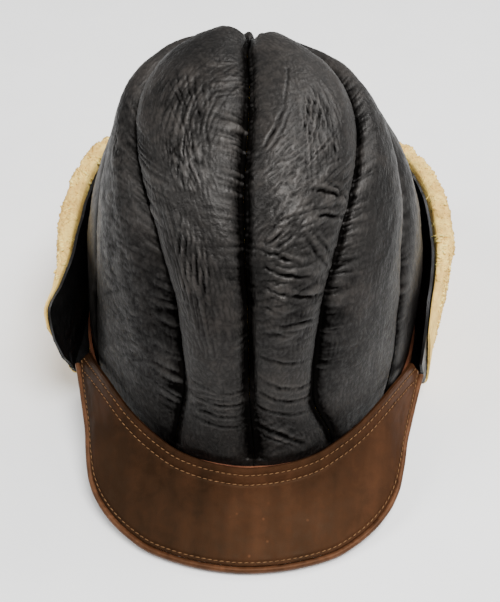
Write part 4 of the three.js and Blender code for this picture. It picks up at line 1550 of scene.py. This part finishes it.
@dataclass
class Flap:
    """The flap's leather, and the wool on its outside with the roll that it makes under the rim.

    foot_level and corner_level are the heights in mm of the leather's foot and of its lowest edge. The
    cut edge is pale only where it faces up by more than pale_slope, above the height pale_from.
    """

    leather_columns: int = 300
    leather_rows: int = 56
    foot_rows: int = 7
    foot_start: float = 2.15
    foot_level: float = 1.7
    corner_level: float = 3.4
    pale_slope: float = 0.45
    pale_from: float = 40
    body_columns: int = 300
    wool_first: float = 71.2
    body_share: float = 0.92
    full_wool: float = 13
    first_outside: int = 22
    ragged: tuple[Ripple, ...] = (Ripple(0.5, 1.1, 1, 51), Ripple(0.9, 4.3, 1, 52))
    lumps: tuple[Ripple, ...] = (Ripple(2.1, 7, 7, 61), Ripple(1.6, 19, 15, 62), Ripple(0.8, 3.4, 3.4, 63))
    bumps: Ripple = Ripple(0.25, 14, 11, 54)
    crinkle: float = 0.07
    crease: float = 1.3
    crease_from: float = 88
    crease_over: float = 12
    # the body under the locks takes the deep skin colour, partly painted shade
    body_tip: float = 0.12
    thinning: float = 1.5
    locks: Fibres = Fibres(
        count=8000, length=4.8, width=1.9, lean=0.95, clump=6.5, draw=0.5, seed=3, stray=0.4
    )
    wisps: Fibres = Fibres(
        count=8200, length=5.8, width=0.6, lean=0.6, clump=5, draw=0.4, seed=8, stray=0.6
    )

    def leather(self) -> bpy.types.Object:
        """Models the leather, with creases where its front corners turn out."""
        angle = np.linspace(FLAP.first, 360 - FLAP.first, self.leather_columns)
        angle, part = np.meshgrid(angle, np.linspace(0, 1, self.leather_rows), indexing="xy")
        height = FLAP.value("height", angle)
        lowest = self.corner_level / height
        part = lowest + (1 - lowest) * part
        ragged = sum(ripple.at(angle, 0 * angle) for ripple in self.ragged)
        out, level = FLAP.out(angle, part) + 0.2, height * part + ragged * part**6
        inner = np.linspace(0, 1, self.foot_rows, endpoint=False)[:, None]
        foot_out = self.foot_start + (out[:1] - self.foot_start) * inner
        foot_level = self.foot_level + (level[:1] - self.foot_level) * inner
        angle = np.concatenate([np.broadcast_to(angle[:1], foot_out.shape), angle])
        part = np.concatenate([0 * foot_out, part])
        face = FLAP.point(angle, np.concatenate([foot_out, out]), np.concatenate([foot_level, level]))
        normals = -grid_normals(face)
        across, up = surface_lengths(face)
        from_front = np.minimum(angle, 360 - angle)
        corner = smooth((self.crease_from - from_front) / self.crease_over)
        corner = corner * smooth((0.75 - part) / 0.4) * smooth(part / 0.06)
        crease = corner * self.crease * (ridges(across / 3.6, up / 11, 53) - 0.5)
        plain = self.bumps.at(across, up) + self.crinkle * (ridges(across / 4, up / 4, 55) - 0.5)
        obj = grid_piece("flap_leather_side", (face + normals * (crease + plain)[..., None])[:, ::-1])
        thicken(obj, FLAP.thick - 0.3, 0.15, rim_slot=1)
        self.blacken_edge_unless_facing_up(obj)
        smooth_shade(obj)
        return obj

    def blacken_edge_unless_facing_up(self, obj: bpy.types.Object) -> None:
        """Gives the cut edge the black leather's material where it faces up by less than pale_slope or lies
        below pale_from.
        """
        faces = obj.data.polygons
        slots = read_mesh(faces, "material_index", kind=np.int32)
        slots[read_mesh(faces, "normal", 3)[:, 2] < self.pale_slope] = 0
        slots[read_mesh(faces, "center", 3)[:, 2] < self.pale_from / 1000] = 0
        faces.foreach_set("material_index", slots)

    def wool_angles(self) -> Array:
        """Angles along the wool, whose ends lie a little behind the leather's."""
        return np.linspace(self.wool_first, 360 - self.wool_first, self.body_columns)

    def fullness(self) -> Array:
        """How thick the wool is along the flap, from 0 to 1."""
        return np.clip(FLAP.value("wool", self.wool_angles()) / self.full_wool, 0, 1)

    def body(self) -> tuple[Array, Array]:
        """The wool's body.

        Returns:
            Points [round the section][along the flap] and their outward directions.
        """
        face = cut_corners(FLAP.section(self.wool_angles(), self.body_share), 2)
        ring = np.concatenate([face[-2:], face, face[:2]])
        normals = grid_normals(ring)[2:-2]
        across, up = surface_lengths(face)
        outside = smooth((np.arange(len(face)) - self.first_outside) / 3.0)
        lumps = sum(ripple.at(across, up) for ripple in self.lumps) * self.fullness()
        return face + normals * (lumps * outside[:, None])[..., None], normals

    def wool(self) -> list[bpy.types.Object]:
        """Models the wool: its body with the locks on it, and finer wisps."""
        face, normals = self.body()
        body = grid_piece("flap_wool_body", np.swapaxes(face, 0, 1)[::-1], closed=True)
        close_ends(body)
        keep_values(body, "tip", np.full(len(body.data.vertices), self.body_tip))
        outer = slice(self.first_outside, len(face))
        full = self.fullness() ** self.thinning
        locks = self.locks.grow("flap_wool_locks", face[outer], normals[outer], full)
        wisps = self.wisps.grow("flap_wool_wisps", face[outer], normals[outer], full)
        pieces = [join("flap_wool", body, locks), wisps]
        for piece in pieces:
            press_flat(piece)
        return pieces

    def build(self, effects: Effects) -> None:
        """Models and dresses the flap."""
        black = Leather.FLAP.value.material(effects)
        pale = Plain.CUT_EDGE.value.material(effects)
        dress(self.leather(), "dark_leather", ["flap_leather"], black, pale)
        wool, wisps = self.wool()
        cream = WoolFinish().material(effects)
        dress(wool, "fleece", ["flap_fleece"], cream)
        dress(wisps, "fleece", [], cream)


@dataclass
class CrownWool:
    """The short wool inside the crown, a padded wall that shows from below."""

    leather: float = 2.2
    wool: float = 7.5
    top_slack: float = 1.4
    follow: float = 0.4
    gap: float = 0.3
    rows: int = 60
    columns: int = 18
    backing: float = 5.5
    lowest_row: float = -0.97
    highest_row: float = 0.985
    tuft_room: float = 1.2
    # the body under the tufts takes the deep skin colour, partly painted shade
    body_tip: float = 0.3
    tufts: Fibres = Fibres(count=2600, length=3.4, width=2.2, lean=0.3, clump=5, draw=0.4, seed=12)

    def face(self, gores: list[Gore]) -> Array:
        """The wool's inner face.

        Args:
            gores: the crown's gores, whose puffs it follows.

        Returns:
            Points [row][column] round the crown.
        """
        row = np.concatenate([[self.lowest_row], np.linspace(0, self.highest_row, self.rows)])
        parts = []
        for gore in gores:
            across = np.linspace(0, 1, self.columns, endpoint=False)
            grid_row, grid_across = np.meshgrid(row, across, indexing="ij")
            hidden = self.leather + 2 * self.gap + self.top_slack * smooth((grid_row - 0.5) / 0.4)
            above = gore.puff(grid_across, grid_row) + VALLEY.above * smooth(grid_row / VALLEY.rise_row)
            filled = (1 - self.follow) * above
            lumps = 0.9 * noise(grid_across * 4 + gore.seed, grid_row * 22, 71)
            inward = hidden + self.wool + filled - self.tuft_room + lumps
            parts.append(gore.surface(grid_across, grid_row, inward, half_gap=0))
        return np.concatenate(parts, axis=1)

    def build(self, gores: list[Gore], effects: Effects) -> None:
        """Models and dresses the wool inside the crown."""
        face = self.face(gores)
        slack = VALLEY.above + self.leather + self.top_slack + self.wool
        under = CROWN.point(0.0, 1.0) - np.array([0, 0, slack])
        closed_top = np.concatenate([face, np.broadcast_to(under, (1, face.shape[1], 3))])
        body = grid_piece("crown_wool_body", closed_top[:, ::-1], closed=True)
        thicken(body, self.backing, 0.3)
        keep_values(body, "tip", np.full(len(body.data.vertices), self.body_tip))
        ring = np.concatenate([face, face[:, :1]], axis=1)
        tufts = self.tufts.grow("crown_wool_tufts", ring[::-1], -grid_normals(ring)[::-1])
        wool = join("crown_wool", body, tufts)
        smooth_shade(wool, 60)
        dress(wool, "fleece", ["crown_fleece"], WoolFinish("wool_short_cream").material(effects))


@dataclass(frozen=True)
class PhotoCamera:
    """The photo's camera, in degrees and mm in the cap's own frame, with its focal length in pixels."""

    elevation: float = 42
    azimuth: float = 3
    roll: float = -2.6
    distance: float = 560
    target: tuple[float, float, float] = (-1.74, 0, 21.01)
    focal: float = 969.5
    long_side: float = 602
    sensor: float = 36

    def build(self) -> None:
        """Makes the camera at the photo's angle to the cap."""
        up_angle, side_angle, roll = np.radians([self.elevation, self.azimuth, self.roll])
        level = np.array([-np.sin(side_angle), np.cos(side_angle), 0]) * np.cos(up_angle)
        forward = level - np.array([0, 0, np.sin(up_angle)])
        right = np.array([np.cos(side_angle), np.sin(side_angle), 0])
        up = np.cross(right, forward)
        right, up = np.cos(roll) * right - np.sin(roll) * up, np.sin(roll) * right + np.cos(roll) * up
        turn = np.array(REST.turn())
        axes = np.stack([turn @ right, turn @ up, -turn @ forward], axis=1)
        place = REST.place(np.array(self.target) - self.distance * forward)
        bpy.ops.object.camera_add()
        camera = bpy.context.active_object
        camera.name = "photo_camera"
        camera.matrix_world = Matrix.Translation(Vector(place)) @ Matrix(axes.tolist()).to_4x4()
        camera.data.sensor_width = self.sensor
        camera.data.lens = self.focal * self.sensor / self.long_side
        bpy.context.scene.camera = camera


@dataclass(frozen=True)
class SoftLight:
    """One soft light: where it stands and how wide it is in metres, and its power in watts."""

    name: str
    place: tuple[float, float, float]
    size: float
    power: float

    aim = (0, 0, 0.09)

    def build(self) -> None:
        """Makes the light, aimed at the cap."""
        bpy.ops.object.light_add(type="AREA", location=self.place)
        light = bpy.context.active_object
        light.name = self.name
        light.data.shape = "DISK"
        light.data.size = self.size
        light.data.energy = self.power
        way = Vector(self.aim) - light.location
        light.rotation_mode = "QUATERNION"
        light.rotation_quaternion = way.to_track_quat("-Z", "Y")


@dataclass
class Studio:
    """A plain pale floor, an even pale surround and soft lights."""

    lights: tuple[SoftLight, ...] = (
        SoftLight("key_light", (0.35, -0.4, 1.6), 0.9, 46),
        SoftLight("side_light", (1.3, -0.5, 0.8), 0.9, 8),
        SoftLight("fill_light", (-1.2, -0.4, 1.2), 0.8, 17),
        SoftLight("back_light", (0.8, 0.8, 1.4), 0.8, 18),
    )
    surround: float = 0.36
    floor_size: float = 14

    def build(self, effects: Effects) -> None:
        """Makes the floor, the surround, the lights and the camera."""
        bpy.ops.object.select_all(action="DESELECT")
        bpy.ops.mesh.primitive_plane_add(size=self.floor_size)
        floor = bpy.context.active_object
        floor.name = "floor"
        floor.data.materials.append(Plain.FLOOR.value.material(effects))
        world = bpy.data.worlds.new("pale_surround")
        world.use_nodes = True
        world.node_tree.nodes["Background"].inputs["Color"].default_value = (1, 1, 1, 1)
        world.node_tree.nodes["Background"].inputs["Strength"].default_value = self.surround
        bpy.context.scene.world = world
        for light in self.lights:
            light.build()
        PhotoCamera().build()


FRONT_LEFT_FOLDS = [
    # row, across, to_row, to_across, bow, width, depth
    Fold(0.71, 0.44, 0.664, 0.59, 0, 0.68, 0.48),
    Fold(0.737, 0.48, 0.654, 0.64, 0, 0.68, 0.45),
    Fold(0.753, 0.55, 0.664, 0.68, 0, 0.68, 0.45),
    Fold(0.753, 0.62, 0.644, 0.73, 0, 0.68, 0.4),
    Fold(0.753, 0.69, 0.667, 0.75, 0, 0.62, 0.35),
    Fold(0.743, 0.75, 0.657, 0.78, 0, 0.62, 0.25),
    Fold(0.66, 0.51, 0.587, 0.64, 0, 0.68, 0.4),
    Fold(0.654, 0.6, 0.567, 0.67, 0, 0.68, 0.4),
    Fold(0.657, 0.66, 0.554, 0.69, 0, 0.68, 0.45),
    Fold(0.667, 0.72, 0.574, 0.74, 0, 0.68, 0.35),
    Fold(0.664, 0.76, 0.584, 0.78, 0, 0.62, 0.3),
    Fold(0.445, 0.48, 0.352, 0.3, 0, 0.68, 0.45),
    Fold(0.445, 0.52, 0.289, 0.27, 0, 0.68, 0.45),
    Fold(0.448, 0.56, 0.282, 0.34, 0, 0.68, 0.45),
    Fold(0.445, 0.59, 0.282, 0.43, 0, 0.68, 0.45),
    Fold(0.441, 0.62, 0.282, 0.52, 0, 0.68, 0.4),
    Fold(0.435, 0.64, 0.302, 0.61, 0, 0.62, 0.35),
    Fold(0.75, 0.76, 0.849, 0.98, -3, 0.68, 0.25),
    Fold(0.733, 0.8, 0.826, 0.98, -3, 0.68, 0.25),
    Fold(0.717, 0.84, 0.786, 0.98, -3, 0.68, 0.25),
    Fold(0.139, 0.11, 0.123, 0.92, -5, 0.9, 0.3),
    Fold(0.109, 0.08, 0.1, 0.93, -5, 0.9, 0.38),
    Fold(0.083, 0.09, 0.076, 0.92, -5, 1.0, 0.42),
    Fold(0.063, 0.15, 0.056, 0.9, -4, 1.0, 0.34),
]
FRONT_RIGHT_FOLDS = [
    # row, across, to_row, to_across, bow, width, depth
    Fold(0.8, 0.32, 0.693, 0.23, 1, 0.68, 0.3),
    Fold(0.69, 0.24, 0.581, 0.08, 0, 0.94, 0.65),
    Fold(0.67, 0.27, 0.594, 0.15, 0, 0.77, 0.35),
    Fold(0.627, 0.7, 0.528, 0.24, 2, 0.72, 0.34),
    Fold(0.713, 0.43, 0.614, 0.37, 0, 0.68, 0.45),
    Fold(0.72, 0.49, 0.604, 0.4, 0, 0.68, 0.4),
    Fold(0.7, 0.53, 0.581, 0.44, 0, 0.68, 0.45),
    Fold(0.683, 0.57, 0.61, 0.56, 0, 0.68, 0.4),
    Fold(0.587, 0.6, 0.541, 0.7, 0, 0.77, 0.48),
    Fold(0.508, 0.46, 0.468, 0.88, 1, 0.94, 0.72),
    Fold(0.511, 0.64, 0.464, 0.93, 0, 0.85, 0.6),
    Fold(0.455, 0.54, 0.431, 0.96, 1, 0.85, 0.66),
    Fold(0.435, 0.47, 0.338, 0.96, -3, 0.9, 0.32),
    Fold(0.438, 0.52, 0.365, 0.89, 1, 0.77, 0.35),
    Fold(0.401, 0.27, 0.435, 0.48, 0, 0.85, 0.72),
    Fold(0.411, 0.2, 0.441, 0.38, 0, 0.68, 0.48),
    Fold(0.401, 0.14, 0.365, 0.54, 1, 0.85, 0.72),
    Fold(0.372, 0.16, 0.345, 0.71, -4, 0.85, 0.78),
    Fold(0.335, 0.16, 0.302, 0.94, -5, 0.94, 0.63),
    Fold(0.322, 0.17, 0.299, 0.8, -4, 0.77, 0.42),
    Fold(0.299, 0.17, 0.282, 0.49, -2, 0.68, 0.34),
    Fold(0.255, 0.15, 0.255, 0.87, 2, 0.94, 0.55),
    Fold(0.246, 0.18, 0.236, 0.52, 0, 0.77, 0.38),
    Fold(0.202, 0.11, 0.182, 0.9, -4, 0.85, 0.34),
    Fold(0.159, 0.1, 0.126, 0.99, -6, 1.02, 0.42),
    Fold(0.129, 0.1, 0.1, 0.99, -6, 1.02, 0.42),
    Fold(0.1, 0.08, 0.07, 0.99, -6, 1.02, 0.46),
    Fold(0.06, 0.01, 0.01, 0.65, 3, 1.36, 0.76),
    Fold(0.043, 0.05, 0.01, 0.53, 2, 0.85, 0.42),
]


def crown_gores() -> list[Gore]:
    """The eight gores with the creases that the photo shows on those at the front."""
    hidden = {"columns": 50, "rows": 110}
    side = {"columns": 120, "rows": 300}
    front = {"columns": 165, "rows": 380}
    both = [
        Puckers("start", 0.05, 0.95, 3.0, 7, 0.5),
        Puckers("end", 0.05, 0.95, 3.0, 7, 0.5),
    ]
    return [
        Gore("gore_back_left", "back_left", "rear_left", 1.5, 0, **hidden, puckers=both, seed=100),
        Gore("gore_rear_left", "rear_left", "side_left", 1.5, 0, **hidden, puckers=both, seed=200),
        Gore(
            "gore_side_left", "side_left", "front_left", 0.5, 4, **side, seed=300,
            seam_reach=(3, 2.2),
            painted_shade_low=0.26,
            painted_light_high=0.3,
            puckers=[
                Puckers("end", 0.02, 0.62, 3.0, 12, 1.0, -14),
                Puckers("start", 0.1, 0.9, 2.8, 6, 0.6),
            ],
            fields=[
                CreaseField(0.5, 0.68, 0.06, 0.16, 40, 2.6, 12, 0.7),
                CreaseField(0.35, 0.6, 0.25, 0.35, 75, 3.2, 14, 0.45),
            ],
        ),
        Gore(
            "gore_front_left", "front_left", "centre", 3.2, 0, **front, seed=400,
            folds=FRONT_LEFT_FOLDS,
            seam_reach=(3, 5.2),
            puckers=[
                Puckers("start", 0.38, 0.6, 2.9, 22, 1.9, 12),
                Puckers("end", 0.3, 0.72, 2.5, 15, 1.2),
                Puckers("end", 0.05, 0.3, 2.4, 10, 0.6),
            ],
            fields=[
                CreaseField(0.66, 0.62, 0.1, 0.22, 12, 1.9, 26, 0.95),
                CreaseField(0.54, 0.6, 0.06, 0.16, 0, 2.0, 10, 1.3),
                CreaseField(0.34, 0.45, 0.13, 0.25, -4, 1.9, 26, 0.75),
                CreaseField(0.76, 0.85, 0.06, 0.16, 55, 1.9, 16, 0.6),
                CreaseField(0.1, 0.5, 0.05, 0.4, 86, 2.6, 18, 0.5),
            ],
        ),
        Gore(
            "gore_front_right", "centre", "front_right", 2.5, 1, **front, seed=500,
            folds=FRONT_RIGHT_FOLDS,
            seam_reach=(5.2, 4),
            painted_light_high=0.2,
            puckers=[
                Puckers("start", 0.25, 0.9, 2.6, 8, 0.8),
                Puckers("end", 0.3, 0.6, 3.0, 12, 0.75),
            ],
            fields=[
                CreaseField(0.48, 0.6, 0.08, 0.32, 70, 2.6, 14, 0.85),
                CreaseField(0.31, 0.5, 0.1, 0.45, 82, 3.0, 18, 0.8),
                CreaseField(0.64, 0.5, 0.1, 0.18, -14, 2.0, 22, 0.8),
                CreaseField(0.55, 0.3, 0.08, 0.2, 45, 2.2, 10, 0.75),
                CreaseField(0.44, 0.3, 0.06, 0.22, 40, 2.4, 9, 0.85),
                CreaseField(0.04, 0.35, 0.04, 0.4, 60, 2.6, 12, 0.6),
            ],
        ),
        Gore(
            "gore_side_right", "front_right", "side_right", 0.5, 2, **side, seed=600, painted_shade_low=0.18,
            puckers=[
                Puckers("start", 0.12, 0.75, 2.3, 12, 1.4, 4),
                Puckers("end", 0.1, 0.9, 2.6, 7, 0.5),
            ],
        ),
        Gore(
            "gore_rear_right", "side_right", "rear_right", 1.5, 1, columns=80, rows=200, seed=700,
            puckers=[
                Puckers("start", 0.05, 0.9, 2.6, 9, 0.8),
                Puckers("end", 0.1, 0.9, 2.6, 6, 0.4),
            ],
        ),
        Gore("gore_back_right", "rear_right", "back_right", 1.5, 0, **hidden, puckers=both, seed=800),
    ]


@dataclass
class FlyingCap:
    """The whole cap."""

    gores: list[Gore] = field(default_factory=crown_gores)
    peak: Peak = field(default_factory=Peak)
    band: Headband = field(default_factory=Headband)
    flap: Flap = field(default_factory=Flap)
    lining: CrownWool = field(default_factory=CrownWool)

    def build(self, effects: Effects) -> None:
        """Models and dresses every sub-assembly."""
        leather = Leather.CROWN.value.material(effects)
        for gore in self.gores:
            dress(gore.build(), "crown_leather", [gore.name], leather)
        self.lining.build(self.gores, effects)
        self.band.build(effects)
        self.peak.build(effects)
        self.flap.build(effects)


def main() -> None:
    """Builds the studio and the cap, in that order."""
    logging.basicConfig(level=logging.INFO, format="%(message)s")
    effects = Effects()
    Studio().build(effects)
    FlyingCap().build(effects)


if __name__ == "__main__":
    main()
